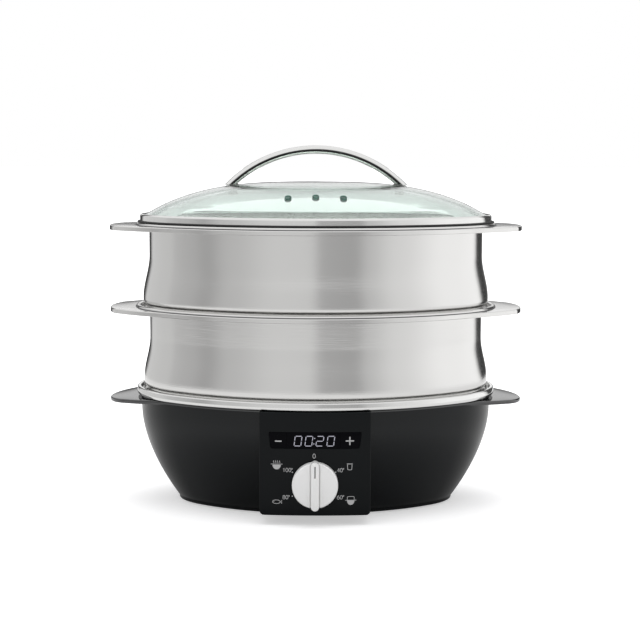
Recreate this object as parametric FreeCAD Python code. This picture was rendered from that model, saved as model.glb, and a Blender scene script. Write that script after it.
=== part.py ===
import FreeCAD, Part
import math
import os

from FreeCAD import Vector

# Oval electric food steamer, in millimetres, +Z up.  The control panel faces -Y and the handles point along
# +X and -X.  It is drawn about the centre of its ovals and written out with the origin on the floor under
# the middle of its whole length from front to back.
os.makedirs("parts", exist_ok=True)

# ---- driving dimensions ----
# Every wall of the stack is an oval of four tangent arcs with the same four centres, so two walls stay a
# constant distance apart all the way round.  A wall is named by its half width.
STACK_HALF = 168.2            # inside of the upstands that the tiers and the lid stand in
OVAL_DIFFERENCE = 50.0        # half width less half depth of every oval
END_CENTRE = 77.0             # centre of the two end arcs, from the middle
BASE_SHOULDER_Z = 90.0        # where the bowl curve of the base ends and its wall turns upright
BASKET_PITCH = 78.0           # from one basket to the next
BEAD_WIDTH = 4.0              # of the tank's rim and of the baskets' rims, outside their upstands

# base
FOOT_HEIGHT = 1.5             # rubber feet below the cover
COVER_THICK = 2.5
COVER_SETBACK = 0.6           # how far the bottom cover stands inside the moulding
BASE_SETBACK = 0.3            # base moulding inside the width of the stack
BASE_WALL = 2.5
BOWL_NARROWING = 35.0         # from the shoulder down to the cover
BOWL_STEPS = 8                # cones that make up the bowl curve
BASE_UPRIGHT = 11.0           # wall above the shoulder
BASE_FLANGE_WIDTH = 21.0      # turned-in bottom edge that the cover is screwed to
RIM_OVERHANG = 1.0            # black rim outside the moulding
RIM_THICK = 2.4
EAR_THICK = 3.8
EAR_REACH = 29.8              # the two carrying ears, out from the rim
EAR_TIP_RADIUS = 48.0
EAR_ROOT = (0.74, 0.62)       # where its straight edge starts, as shares of the rim's half width and depth
EAR_END_SHARE = 0.303         # half the length of its end arc, as a share of the rim's half depth
EAR_CORNER_RADIUS = 14.0
EAR_EDGE = 1.2                # bevel round the ears
EAR_DROOP = 5.3               # degrees that the ears slope down towards their tips
EAR_DROOP_START = 17.5        # line that they slope down from, in from the ends of the rim
SEAL_THICK = 0.6
FEET_INSET = (66.9, 32.9)     # rubber feet, in from the ends and from the front and back of the bowl
SCREW_TURN = 50.0             # cover screws, degrees round the end arcs

# tank
TANK_SHEET = 1.2
TANK_SEAT_LIFT = 2.0          # ledge that carries the lower basket, above the underside of the tank's rim
TANK_UPSTAND = 5.2
TANK_RIM_COVER = 1.2          # of the ring, outside the edge of the tank's flange
TRAY_DROP = 7.0               # ledge that carries the juice tray, below the basket's ledge
TRAY_LEDGE = 5.1
TANK_DEPTH = 49.0             # floor below the tray's ledge
TANK_DRAFT = 12.0             # how much narrower the floor is than the tray's ledge

# baskets
BASKET_SHEET = 1.2
BASKET_NESTING = 2.7          # between a basket's belly and the upstand it stands in
NECK_STEP = 5.2               # neck inside the belly
BASKET_BELLY_LOW = 3.0
BASKET_BELLY_HIGH = 16.0
BASKET_NECK_HEIGHT = 30.0
BASKET_UPSTAND = 5.4
BASKET_FLANGE_RISE = 3.0      # flat flange above the ledge
BASKET_LIP = 4.5
FLANGE_OVERHANG = 1.2         # flange outside the bead
TAB_REACH = 23.6              # the two handle tabs, out from the flange
TAB_TIP_RADIUS = 90.0
TAB_ROOT = (0.75, 0.623)      # as for the ears, shares of the flange
TAB_END_SHARE = 0.3
TAB_CORNER_RADIUS = 13.0
FLOOR_LEDGE = 11.5            # turned-in edge that carries the perforated floor
FLOOR_THICK = 1.2
FLOOR_CLEARANCE = 0.8
FLOOR_HOLE_RADIUS = 4.0
FLOOR_RING_SHARES = (0.705, 0.312)      # rings of holes, from the end centres out to the floor's edge
FLOOR_RING_COUNTS = (18, 12)

# juice tray
TRAY_CLEARANCE = 1.5
TRAY_RIM_THICK = 2.0
TRAY_WALL = 1.8
TRAY_DEPTH = 19.0
TRAY_DRAFT = 6.0
CHIMNEY_END_RADIUS = 19.0
CHIMNEY_DROP = 2.0            # top of the chimney below the tray's ledge

# lid
LID_SEAT_GAP = 0.1
LID_SHEET = 1.0
SKIRT_CLEARANCE = 0.8         # skirt inside the upstand
LID_SKIRT_DEPTH = 4.4
LID_FLANGE_WIDTH = 2.6
LID_BAND_STEP = 0.6
LID_BAND_HEIGHT = 8.0
GLASS_CLEARANCE = 1.0
LID_LIP_WIDTH = 0.8           # how far the band laps over the glass
GLASS_THICK = 4.0
GLASS_DEPTH_INSET = 1.2       # the glass is this much shallower than an oval of the stack
GLASS_RISE = ((0.0, 0.0), (0.0417, 5.0), (0.1112, 10.0), (0.2213, 17.0), (0.468, 28.3), (0.6977, 31.3),
              (0.9069, 32.2))   # share of the half width in from the edge, height above it
VENT_RADIUS = 3.2
VENT_SPACING = 25.0
VENT_INSET = 31.2             # vents, in from the front of the glass
HANDLE_RADIUS = 117.0         # centre line of the arch
HANDLE_RISE = 72.9            # top of the arch above the lid's seat
HANDLE_DEPTH = 16.0
HANDLE_HEIGHT = 8.0
HANDLE_REACH = 50.0           # degrees of arch to each side, before the ends are cut off
HANDLE_DROP = 31.62436        # centre line of the arch, from its top down to the screws
WASHER_THICK = 1.0
WASHER_RADIUS = 6.0
HANDLE_SCREW_RADIUS = 2.0
HANDLE_SCREW_DEPTH = 6.0      # screw inside the handle
HANDLE_SCREW_HEAD_RADIUS = 4.5

# control panel
PANEL_HALF = 50.0
PANEL_STANDOUT = 5.1          # middle of the bowed front, in front of the base moulding
PANEL_BOW = 3.0
PANEL_LIFT = 5.2              # bottom of the panel above the bottom cover
PANEL_DROP = 0.4              # top of the panel below the top of the rim
PANEL_DEPTH = 63.0            # of the block it is cut from
PANEL_CORNER = 4.0
PANEL_TOP_CORNER = 0.8
PANEL_WALL = 2.5
PANEL_LAND = 4.0              # base wall left inside the panel's edge
WINDOW_DROP = 18.0            # top of the window strip below the top of the panel
WINDOW_HEIGHT = 14.6
WINDOW_INSET = 8.5            # ends of the strip, in from the sides of the panel
WINDOW_NARROWING = 1.7        # from the top of the strip to the bottom, at each end
WINDOW_CORNER = 2.0
WINDOW_THICK = 2.2
WINDOW_CLEARANCE = 0.15
MINUS_KEY_WIDTH = 16.1
PLUS_KEY_WIDTH = 19.1
KEY_POST_RADIUS = 2.0
KEY_POST_GAP = 0.8            # between a key's post and its switch
SWITCH_CAP = 3.7              # key switches, in front of the display board
KNOB_LIFT = 28.9              # above the bottom of the panel
KNOB_RADIUS = 20.65
KNOB_GAP = 0.6
KNOB_DISC = 7.4
KNOB_EDGE = 1.2
KNOB_HOLLOW_RADIUS = 11.0
KNOB_HOLLOW = 3.8
GRIP_LENGTH = 44.0
GRIP_WIDTH = 7.5
GRIP_HEIGHT = 5.0
SHAFT_RADIUS = 3.0
SHAFT_CLEARANCE = 0.05
SHAFT_GRIP = 7.0              # shaft inside the knob
BUSH_RADIUS = 4.5
BUSH_LENGTH = 3.0             # thread in front of the panel
NUT_RADIUS = 8.0
NUT_THICK = 2.2
SWITCH_SIZE = 24.0
SWITCH_DEPTH = 15.0

# inside the base
BOARD_THICK = 1.6
DISPLAY_BOARD_SETBACK = 10.0  # behind the front of the panel
DISPLAY_BOARD_MARGIN = (0.5, 7.5)       # round the window strip, at the sides and above and below
BOARD_SCREW_INSET = (3.0, 3.2)
BOARD_SCREW_RADIUS = 1.1
POWER_BOARD = (-38.0, 42.0, -16.0, 50.0)       # x and y limits
POWER_BOARD_LIFT = 8.0        # above the bottom cover
TERMINAL_HEIGHT = 10.0
RELAY = (19.0, 15.5, 15.5)    # length, width and height
HEATER_RADIUS = 46.0
HEATER_THICK = 3.5
ELEMENT_RADIUS = 34.0
ELEMENT_TUBE = 3.2
ELEMENT_LEG = 12.0
ELEMENT_SWEEP = 320.0         # degrees
THERMOSTAT_RADIUS = 9.0
THERMOSTAT_HEIGHT = 8.0
PROBE_X = 62.0
PROBE_RADIUS = 3.0
PROBE_NUT_RADIUS = 6.5
SCREW_RADIUS = 1.6
SCREW_HEAD_RADIUS = 3.2
POST_RADIUS = 4.5
FOOT_RADIUS = 8.0
FOOT_RECESS = 1.5
GLAND_LIFT = 28.0             # cord gland above the bottom cover
GLAND_FLANGE_RADIUS = 9.0
GLAND_FLANGE_THICK = 3.0
GLAND_NOSE_RADIUS = 6.0
GLAND_NOSE = 12.0
GLAND_SLEEVE = 12.0
GLAND_BORE_RADIUS = 3.6

# ---- derived ----
BASE_HALF = STACK_HALF - BASE_SETBACK
FOOT_HALF = BASE_HALF - BOWL_NARROWING
COVER_HALF = FOOT_HALF - COVER_SETBACK
RIM_HALF = BASE_HALF + RIM_OVERHANG
BEAD_HALF = STACK_HALF + BEAD_WIDTH
BELLY_HALF = STACK_HALF - BASKET_NESTING
NECK_HALF = BELLY_HALF - NECK_STEP
FLANGE_HALF = BEAD_HALF + FLANGE_OVERHANG
SEAT_HALF = NECK_HALF - BASKET_SHEET            # inside of every basket's neck and of the tank's
TRAY_SEAT_HALF = SEAT_HALF - TRAY_LEDGE
TANK_FLOOR_HALF = TRAY_SEAT_HALF - TANK_DRAFT
FLOOR_LEDGE_HALF = BELLY_HALF - FLOOR_LEDGE
FLOOR_HALF = BELLY_HALF - BASKET_SHEET - FLOOR_CLEARANCE
TRAY_RIM_HALF = SEAT_HALF - TRAY_CLEARANCE
TRAY_HALF = TRAY_SEAT_HALF - TRAY_CLEARANCE
CHIMNEY_HALF = END_CENTRE + CHIMNEY_END_RADIUS
LID_SKIRT_HALF = STACK_HALF - SKIRT_CLEARANCE
GLASS_HALF = LID_SKIRT_HALF - LID_SHEET - GLASS_CLEARANCE
GLASS_HALF_DEPTH = GLASS_HALF - OVAL_DIFFERENCE - GLASS_DEPTH_INSET
VENT_Y = VENT_INSET - GLASS_HALF_DEPTH

COVER_TOP_Z = FOOT_HEIGHT + COVER_THICK
RIM_BOTTOM_Z = BASE_SHOULDER_Z + BASE_UPRIGHT
RIM_TOP_Z = RIM_BOTTOM_Z + RIM_THICK
TANK_RIM_BOTTOM_Z = RIM_TOP_Z + SEAL_THICK
TANK_SEAT_Z = TANK_RIM_BOTTOM_Z + TANK_SEAT_LIFT
TANK_RIM_TOP_Z = TANK_SEAT_Z + TANK_UPSTAND
TRAY_SEAT_Z = TANK_SEAT_Z - TRAY_DROP
TRAY_FLOOR_Z = TRAY_SEAT_Z - TRAY_DEPTH
CHIMNEY_TOP_Z = TRAY_SEAT_Z - CHIMNEY_DROP
TANK_FLOOR_Z = TRAY_SEAT_Z - TANK_DEPTH
HEATER_TOP_Z = TANK_FLOOR_Z - TANK_SHEET
HEATER_BOTTOM_Z = HEATER_TOP_Z - HEATER_THICK
UPPER_BASKET_Z = TANK_SEAT_Z + BASKET_PITCH
LID_Z = UPPER_BASKET_Z + BASKET_PITCH + BASKET_UPSTAND + LID_SEAT_GAP
GLASS_EDGE_Z = LID_Z + LID_BAND_HEIGHT - 2 * LID_SHEET
HANDLE_TOP_Z = LID_Z + HANDLE_RISE
HANDLE_ROOT = math.sqrt(HANDLE_RADIUS ** 2 - (HANDLE_RADIUS - HANDLE_DROP) ** 2)
POWER_BOARD_Z = COVER_TOP_Z + POWER_BOARD_LIFT
POWER_BOARD_TOP_Z = POWER_BOARD_Z + BOARD_THICK
GLAND_Z = COVER_TOP_Z + GLAND_LIFT

PANEL_FRONT = BASE_HALF - OVAL_DIFFERENCE + PANEL_STANDOUT      # from the middle of the steamer
PANEL_BACK = PANEL_FRONT - PANEL_DEPTH
PANEL_BOTTOM_Z = COVER_TOP_Z + PANEL_LIFT
PANEL_TOP_Z = RIM_TOP_Z - PANEL_DROP
WINDOW_HALF = PANEL_HALF - WINDOW_INSET
WINDOW_TOP_Z = PANEL_TOP_Z - WINDOW_DROP
WINDOW_BOTTOM_Z = WINDOW_TOP_Z - WINDOW_HEIGHT
WINDOW_MIDDLE_Z = (WINDOW_TOP_Z + WINDOW_BOTTOM_Z) / 2
MINUS_KEY_EDGE = MINUS_KEY_WIDTH - WINDOW_HALF
PLUS_KEY_EDGE = WINDOW_HALF - PLUS_KEY_WIDTH
KEY_MIDDLES = (MINUS_KEY_WIDTH / 2 - WINDOW_HALF, WINDOW_HALF - PLUS_KEY_WIDTH / 2)
KNOB_Z = PANEL_BOTTOM_Z + KNOB_LIFT
KNOB_BACK = -PANEL_FRONT - KNOB_GAP
DISPLAY_BOARD_Y = DISPLAY_BOARD_SETBACK - PANEL_FRONT
DISPLAY_BOARD_HALF = WINDOW_HALF + DISPLAY_BOARD_MARGIN[0]
DISPLAY_BOARD_Z = (WINDOW_BOTTOM_Z - DISPLAY_BOARD_MARGIN[1], WINDOW_TOP_Z + DISPLAY_BOARD_MARGIN[1])
BOARD_SCREW_X = DISPLAY_BOARD_HALF - BOARD_SCREW_INSET[0]
BOARD_SCREW_Z = (DISPLAY_BOARD_Z[0] + BOARD_SCREW_INSET[1], DISPLAY_BOARD_Z[1] - BOARD_SCREW_INSET[1])
BOARD_SCREW_POINTS = [(x, z) for x in (-BOARD_SCREW_X, BOARD_SCREW_X) for z in BOARD_SCREW_Z]

SCREW_REACH = FOOT_HALF - BASE_FLANGE_WIDTH / 2 - END_CENTRE
SCREW_POINTS = [(sx * (END_CENTRE + SCREW_REACH * math.cos(math.radians(SCREW_TURN))),
                 sy * SCREW_REACH * math.sin(math.radians(SCREW_TURN))) for sx in (-1, 1) for sy in (-1, 1)]
FOOT_POINTS = [(sx * (FOOT_HALF - FEET_INSET[0]), sy * (FOOT_HALF - OVAL_DIFFERENCE - FEET_INSET[1]))
               for sx in (-1, 1) for sy in (-1, 1)]


# ---- shapes ----
def outline(*points):
    """Closed wire in the XZ plane through (x, z) points."""
    return Part.makePolygon([Vector(x, 0, z) for x, z in points + points[:1]])


def rounded_plan(corners):
    """Closed wire in the XY plane through (x, y, radius) corners, each rounded by its radius."""
    count, spans = len(corners), []
    for i, (x, y, radius) in enumerate(corners):
        here = Vector(x, y, 0)
        back = (Vector(*corners[i - 1][:2], 0) - here).normalize()
        ahead = (Vector(*corners[(i + 1) % count][:2], 0) - here).normalize()
        half = back.getAngle(ahead) / 2
        reach = radius / math.tan(half)
        middle = here + (back + ahead).normalize() * (radius / math.sin(half) - radius)
        spans.append((here + back * reach, middle, here + ahead * reach, radius))
    edges = []
    for i, (start, middle, end, radius) in enumerate(spans):
        if radius:
            edges.append(Part.Arc(start, middle, end).toShape())
        edges.append(Part.makeLine(end, spans[(i + 1) % count][0]))
    return Part.Wire(edges)


def oval_arcs(end_centre, difference):
    """Four tangent arcs: centre x, centre y, first angle, swept angle, half width less radius."""
    side_centre = difference * (2 * end_centre - difference) / (2 * (end_centre - difference))
    turn = math.degrees(math.atan2(side_centre, end_centre))
    return ((end_centre, 0, -turn, 2 * turn, end_centre),
            (0, -side_centre, turn, 180 - 2 * turn, difference - side_centre),
            (-end_centre, 0, 180 - turn, 2 * turn, end_centre),
            (0, side_centre, 180 + turn, 180 - 2 * turn, difference - side_centre))


OVAL_ARCS = oval_arcs(END_CENTRE, OVAL_DIFFERENCE)


def oval_wire(half, z=0.0, arcs=OVAL_ARCS):
    edges = []
    for cx, cy, first, sweep, less in arcs:
        radius = half - less
        ends = (math.radians(first + sweep * share) for share in (0, 0.5, 1))
        edges.append(Part.Arc(*(Vector(cx + radius * math.cos(t), cy + radius * math.sin(t), z)
                                for t in ends)).toShape())
    return Part.Wire(edges)


def oval_prism(half, low, high):
    return Part.Face(oval_wire(half, low)).extrude(Vector(0, 0, high - low))


def oval_ring(*profile):
    """Carries a closed profile, given as (half width, z), round the oval: one turn for each arc."""
    section = Part.Face(outline(*profile))
    turned = []
    for cx, cy, first, sweep, less in OVAL_ARCS:
        piece = section.translated(Vector(-less, 0, 0)).revolve(Vector(), Vector(0, 0, 1), sweep)
        piece.rotate(Vector(), Vector(0, 0, 1), first)
        piece.translate(Vector(cx, cy, 0))
        turned.append(piece)
    return solid_of(turned[0].fuse(turned[1:]).removeSplitter())


def solid_of(shape):
    """The single solid of a boolean result."""
    return shape.Solids[0] if len(shape.Solids) == 1 else shape


def box(x0, x1, y0, y1, z0, z1):
    return Part.makeBox(x1 - x0, y1 - y0, z1 - z0, Vector(x0, y0, z0))


def rod(radius, x, y, low, high):
    """Upright cylinder."""
    return Part.makeCylinder(radius, high - low, Vector(x, y, low))


def rod_y(radius, x, z, front, back):
    """Cylinder along Y."""
    return Part.makeCylinder(radius, back - front, Vector(x, front, z), Vector(0, 1, 0))


def group(shapes):
    return Part.makeCompound(shapes)


def oval_point(half, share):
    """Point at a share of the way round an oval, by length."""
    lengths = [(half - less) * math.radians(sweep) for cx, cy, first, sweep, less in OVAL_ARCS]
    left = share % 1.0 * sum(lengths)
    for length, (cx, cy, first, sweep, less) in zip(lengths, OVAL_ARCS):
        if left <= length:
            angle = math.radians(first + sweep * left / length)
            return cx + (half - less) * math.cos(angle), cy + (half - less) * math.sin(angle)
        left -= length
    return oval_point(half, 0.0)


def ear_face(half, reach, root_shares, end_share, tip_radius, corner_radius, z):
    """Face of the ear at +X of an oval: straight flanks from inside it, an end arc and rounded corners."""
    depth, tip = half - OVAL_DIFFERENCE, half + reach
    root_x, root_y, end_y = half * root_shares[0], depth * root_shares[1], depth * end_share
    end_x = tip - tip_radius + math.sqrt(tip_radius ** 2 - end_y ** 2)
    ear = Part.Face(Part.Wire([
        Part.makePolygon([Vector(end_x, end_y, z), Vector(root_x, root_y, z), Vector(0, root_y, z),
                          Vector(0, -root_y, z), Vector(root_x, -root_y, z), Vector(end_x, -end_y, z)]),
        Part.Arc(Vector(end_x, -end_y, z), Vector(tip, 0, z), Vector(end_x, end_y, z)).toShape(),
    ]))
    return ear.makeOffset2D(-corner_radius, 0).makeOffset2D(corner_radius, 0)


def eared_plan(half, reach, root_shares, end_share, tip_radius, corner_radius, z):
    """Oval face with an ear at each end."""
    ear = ear_face(half, reach, root_shares, end_share, tip_radius, corner_radius, z)
    faces = (Part.Face(oval_wire(half, z)), ear, ear.mirror(Vector(), Vector(1, 0, 0)))
    slabs = [face.extrude(Vector(0, 0, 1)) for face in faces]
    joined = slabs[0].fuse(slabs[1:]).removeSplitter()
    return next(face for face in joined.Faces if abs(face.BoundBox.ZMax - z) < 1e-6)


def bevelled_slab(face, low, high, bevel):
    """Slab of the face's outline with a bevel round its lower and upper outside edges."""
    thick = high - low
    slab = face.extrude(Vector(0, 0, thick))
    level = [edge for edge in slab.Edges if edge.BoundBox.ZLength < 1e-6]
    return slab.makeChamfer(bevel, level)


# ---- base ----
def bowl_half(z, inset=0.0):
    """Half width of the bowl curve at a height: an arc with an upright tangent at the shoulder."""
    width, height = BASE_HALF - FOOT_HALF, BASE_SHOULDER_Z - COVER_TOP_Z
    radius = (width ** 2 + height ** 2) / (2 * width)
    return BASE_HALF - radius + math.sqrt((radius - inset) ** 2 - (BASE_SHOULDER_Z - z) ** 2)


def bowl_levels(inset, bottom, count):
    """Points up the bowl curve, from the bottom to the shoulder, closer together where it curves most."""
    rise = BASE_SHOULDER_Z - bottom
    return [(bowl_half(z, inset), z) for z in (bottom + rise * (i / count) for i in range(count + 1))]


def bowl_solid():
    """Everything inside the outer face of the base moulding."""
    core = CHIMNEY_HALF
    shell = oval_ring(*bowl_levels(0, COVER_TOP_Z, BOWL_STEPS),
                      (BASE_HALF, RIM_BOTTOM_Z), (core, RIM_BOTTOM_Z),
                      (core, COVER_TOP_Z))
    return solid_of(shell.fuse(oval_prism(core, COVER_TOP_Z, RIM_BOTTOM_Z)).removeSplitter())


def gland_back():
    """Where the flat seat of the cord gland stands, behind the bowl."""
    return bowl_half(GLAND_Z + GLAND_FLANGE_RADIUS + 2) - OVAL_DIFFERENCE + 0.5


def base_housing():
    flange_top = COVER_TOP_Z + BASE_WALL
    inner = FOOT_HALF - BASE_FLANGE_WIDTH
    inside = reversed(bowl_levels(BASE_WALL, flange_top, 4))
    shell = oval_ring(*bowl_levels(0, COVER_TOP_Z, BOWL_STEPS),
                      (BASE_HALF, RIM_BOTTOM_Z), (BASE_HALF - BASE_WALL, RIM_BOTTOM_Z),
                      *inside, (inner, flange_top), (inner, COVER_TOP_Z))
    posts = [rod(POST_RADIUS, x, y, COVER_TOP_Z, COVER_TOP_Z + 15) for x, y in SCREW_POINTS]
    seat = rod_y(GLAND_FLANGE_RADIUS + 2, 0, GLAND_Z, gland_back() - 14, gland_back())
    shell = shell.fuse(posts + [seat])
    holes = [rod(SCREW_RADIUS + 0.1, x, y, COVER_TOP_Z - 1, COVER_TOP_Z + 13) for x, y in SCREW_POINTS]
    holes.append(rod_y(GLAND_NOSE_RADIUS, 0, GLAND_Z, gland_back() - 30, gland_back() + 5))
    side = PANEL_HALF - PANEL_WALL - PANEL_LAND
    window = box(-side, side, -PANEL_FRONT - 10, -PANEL_BACK, PANEL_BOTTOM_Z + PANEL_WALL + PANEL_LAND,
                 RIM_BOTTOM_Z + 1)
    return solid_of(shell.cut(group(holes)).cut(window))


def bottom_cover():
    plate = oval_prism(COVER_HALF, FOOT_HEIGHT, COVER_TOP_Z)
    x0, x1, y0, y1 = POWER_BOARD
    posts = [rod(3.5, x, y, COVER_TOP_Z, POWER_BOARD_Z) for x in (x0 + 5, x1 - 5) for y in (y0 + 5, y1 - 5)]
    plate = plate.fuse(posts)
    cuts = [rod(FOOT_RADIUS + 0.1, x, y, 0, FOOT_HEIGHT + FOOT_RECESS) for x, y in FOOT_POINTS]
    cuts += [rod(SCREW_RADIUS + 0.2, x, y, 0, COVER_TOP_Z + 1) for x, y in SCREW_POINTS]
    cuts += [rod(SCREW_HEAD_RADIUS + 0.2, x, y, 0, FOOT_HEIGHT + 1.0) for x, y in SCREW_POINTS]
    cuts += [box(-30 + 12 * i, -27 + 12 * i, -50, -20, 0, COVER_TOP_Z + 1) for i in range(6)]
    return solid_of(plate.cut(group(cuts)))


def rubber_feet():
    return group([rod(FOOT_RADIUS, x, y, 0, FOOT_HEIGHT + FOOT_RECESS) for x, y in FOOT_POINTS])


def cover_screws():
    screws = []
    for x, y in SCREW_POINTS:
        head = rod(SCREW_HEAD_RADIUS, x, y, FOOT_HEIGHT - 0.8, FOOT_HEIGHT + 1.0)
        shank = rod(SCREW_RADIUS, x, y, FOOT_HEIGHT, COVER_TOP_Z + 11)
        screws.append(solid_of(head.fuse(shank).removeSplitter()))
    return group(screws)


def base_rim():
    """Oval ring with an ear at each end, which slopes down a little from the ring to its tip."""
    low = RIM_TOP_Z - EAR_THICK
    face = ear_face(RIM_HALF, EAR_REACH, EAR_ROOT, EAR_END_SHARE, EAR_TIP_RADIUS, EAR_CORNER_RADIUS, low)
    ear = bevelled_slab(face, low, RIM_TOP_Z, EAR_EDGE)
    ear.rotate(Vector(RIM_HALF - EAR_DROOP_START, 0, RIM_TOP_Z), Vector(0, 1, 0), EAR_DROOP)
    ear = ear.cut(oval_prism(BASE_HALF, BASE_SHOULDER_Z, RIM_BOTTOM_Z))
    ear = ear.cut(box(-RIM_HALF, RIM_HALF, -RIM_HALF, RIM_HALF, RIM_TOP_Z, RIM_TOP_Z + RIM_HALF))
    ring = oval_prism(RIM_HALF, RIM_BOTTOM_Z, RIM_TOP_Z)
    ring = ring.fuse([ear, ear.mirror(Vector(), Vector(1, 0, 0))])
    inside = oval_prism(BASE_HALF - BASE_WALL - 4, BASE_SHOULDER_Z, RIM_TOP_Z + 1)
    return solid_of(ring.cut(inside).removeSplitter())


def tank_seal():
    inner = BASE_HALF - BASE_WALL - 3
    return oval_prism(RIM_HALF - 1.2, RIM_TOP_Z, TANK_RIM_BOTTOM_Z).cut(
        oval_prism(inner, RIM_TOP_Z - 1, TANK_RIM_BOTTOM_Z + 1))


def water_tank():
    t, floor_z = TANK_SHEET, TANK_FLOOR_Z
    tank = oval_ring(
        (BEAD_HALF - TANK_RIM_COVER, TANK_RIM_BOTTOM_Z), (BEAD_HALF - TANK_RIM_COVER, TANK_SEAT_Z),
        (SEAT_HALF, TANK_SEAT_Z),
        (SEAT_HALF, TRAY_SEAT_Z), (TRAY_SEAT_HALF, TRAY_SEAT_Z), (TANK_FLOOR_HALF + 5, floor_z + 8),
        (TANK_FLOOR_HALF, floor_z), (TANK_FLOOR_HALF - 20, floor_z), (TANK_FLOOR_HALF - 20, floor_z - t),
        (TANK_FLOOR_HALF + 0.6, floor_z - t), (TANK_FLOOR_HALF + 5 + t, floor_z + 8 - 0.4),
        (TRAY_SEAT_HALF + t, TRAY_SEAT_Z - t), (SEAT_HALF + t, TRAY_SEAT_Z - t),
        (SEAT_HALF + t, TANK_RIM_BOTTOM_Z))
    floor = oval_prism(TANK_FLOOR_HALF - 20, floor_z - t, floor_z)
    tank = tank.fuse(floor).removeSplitter()
    return solid_of(tank.cut(rod(PROBE_RADIUS + 0.1, PROBE_X, 0, floor_z - 5, floor_z + 5)))


def tank_rim():
    """Polished ring on the flange of the tank, round the foot of the lower basket."""
    cover = BEAD_HALF - TANK_RIM_COVER
    return oval_ring(
        (cover, TANK_RIM_BOTTOM_Z), (BEAD_HALF - 0.8, TANK_RIM_BOTTOM_Z),
        (BEAD_HALF, TANK_RIM_BOTTOM_Z + 0.8), (BEAD_HALF, TANK_RIM_TOP_Z - 1.2),
        (BEAD_HALF - 1.2, TANK_RIM_TOP_Z), (STACK_HALF, TANK_RIM_TOP_Z),
        (STACK_HALF, TANK_SEAT_Z), (cover, TANK_SEAT_Z))


def heating_plate():
    return rod(HEATER_RADIUS, 0, 0, HEATER_BOTTOM_Z, HEATER_TOP_Z)


def heating_element():
    """Sheathed tube in a nearly closed ring under the plate, with two legs down to the terminals."""
    z = HEATER_BOTTOM_Z - ELEMENT_TUBE * math.cos(math.radians(22.5))
    corners = [math.radians(45 * i + 22.5) for i in range(8)]
    tube = Part.Face(outline(*((ELEMENT_RADIUS + ELEMENT_TUBE * math.cos(a), z + ELEMENT_TUBE * math.sin(a))
                               for a in corners)))
    ring = tube.revolve(Vector(0, 0, z), Vector(0, 0, 1), ELEMENT_SWEEP)
    legs = []
    for turn in (math.radians(4), math.radians(ELEMENT_SWEEP - 4)):
        x, y = ELEMENT_RADIUS * math.cos(turn), ELEMENT_RADIUS * math.sin(turn)
        legs.append(rod(ELEMENT_TUBE - 0.6, x, y, z - ELEMENT_LEG, z))
    return solid_of(ring.fuse(legs).removeSplitter())


def thermostat():
    low = HEATER_BOTTOM_Z - THERMOSTAT_HEIGHT
    can = rod(THERMOSTAT_RADIUS, 0, 0, low, HEATER_BOTTOM_Z)
    blades = [box(sx * 5 - 3, sx * 5 + 3, -0.4, 0.4, low - 8, low) for sx in (-1, 1)]
    return solid_of(can.fuse(blades).removeSplitter())


def temperature_probe():
    stem = rod(PROBE_RADIUS, PROBE_X, 0, HEATER_TOP_Z - 10, TANK_FLOOR_Z + 14)
    tip = Part.makeCone(PROBE_RADIUS, PROBE_RADIUS - 1.2, 1.2, Vector(PROBE_X, 0, TANK_FLOOR_Z + 14))
    nut = rod(PROBE_NUT_RADIUS, PROBE_X, 0, HEATER_TOP_Z - 4, HEATER_TOP_Z)
    return solid_of(stem.fuse([nut, tip]).removeSplitter())


def probe_seal():
    ring = rod(PROBE_NUT_RADIUS, PROBE_X, 0, TANK_FLOOR_Z, TANK_FLOOR_Z + 2)
    return ring.cut(rod(PROBE_RADIUS, PROBE_X, 0, TANK_FLOOR_Z - 1, TANK_FLOOR_Z + 3))


def power_board():
    x0, x1, y0, y1 = POWER_BOARD
    return box(x0, x1, y0, y1, POWER_BOARD_Z, POWER_BOARD_TOP_Z)


def relay():
    x, y = POWER_BOARD[0] + 8, POWER_BOARD[2] + 28
    length, width, height = RELAY
    return box(x, x + length, y, y + width, POWER_BOARD_TOP_Z, POWER_BOARD_TOP_Z + height)


def terminal_block():
    back, low = POWER_BOARD[3] - 3, POWER_BOARD_TOP_Z
    block = box(-13, 13, back - 11, back, low, low + TERMINAL_HEIGHT)
    holes = [rod_y(1.8, x, low + 3.4, back - 12, back + 1) for x in (-8, 0, 8)]
    wells = [rod(2.4, x, back - 5.5, low + 6.4, low + TERMINAL_HEIGHT + 1) for x in (-8, 0, 8)]
    return solid_of(block.cut(group(holes + wells)))


def cord_gland():
    back = gland_back()
    root = back + GLAND_FLANGE_THICK
    flange = rod_y(GLAND_FLANGE_RADIUS, 0, GLAND_Z, back, root)
    nose = Part.makeCone(GLAND_NOSE_RADIUS, GLAND_BORE_RADIUS + 1.2, GLAND_NOSE, Vector(0, root, GLAND_Z),
                         Vector(0, 1, 0))
    sleeve = rod_y(GLAND_NOSE_RADIUS, 0, GLAND_Z, back - GLAND_SLEEVE, back)
    gland = flange.fuse([nose, sleeve]).removeSplitter()
    bore = rod_y(GLAND_BORE_RADIUS, 0, GLAND_Z, back - GLAND_SLEEVE - 1, root + GLAND_NOSE + 1)
    return solid_of(gland.cut(bore))


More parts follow.
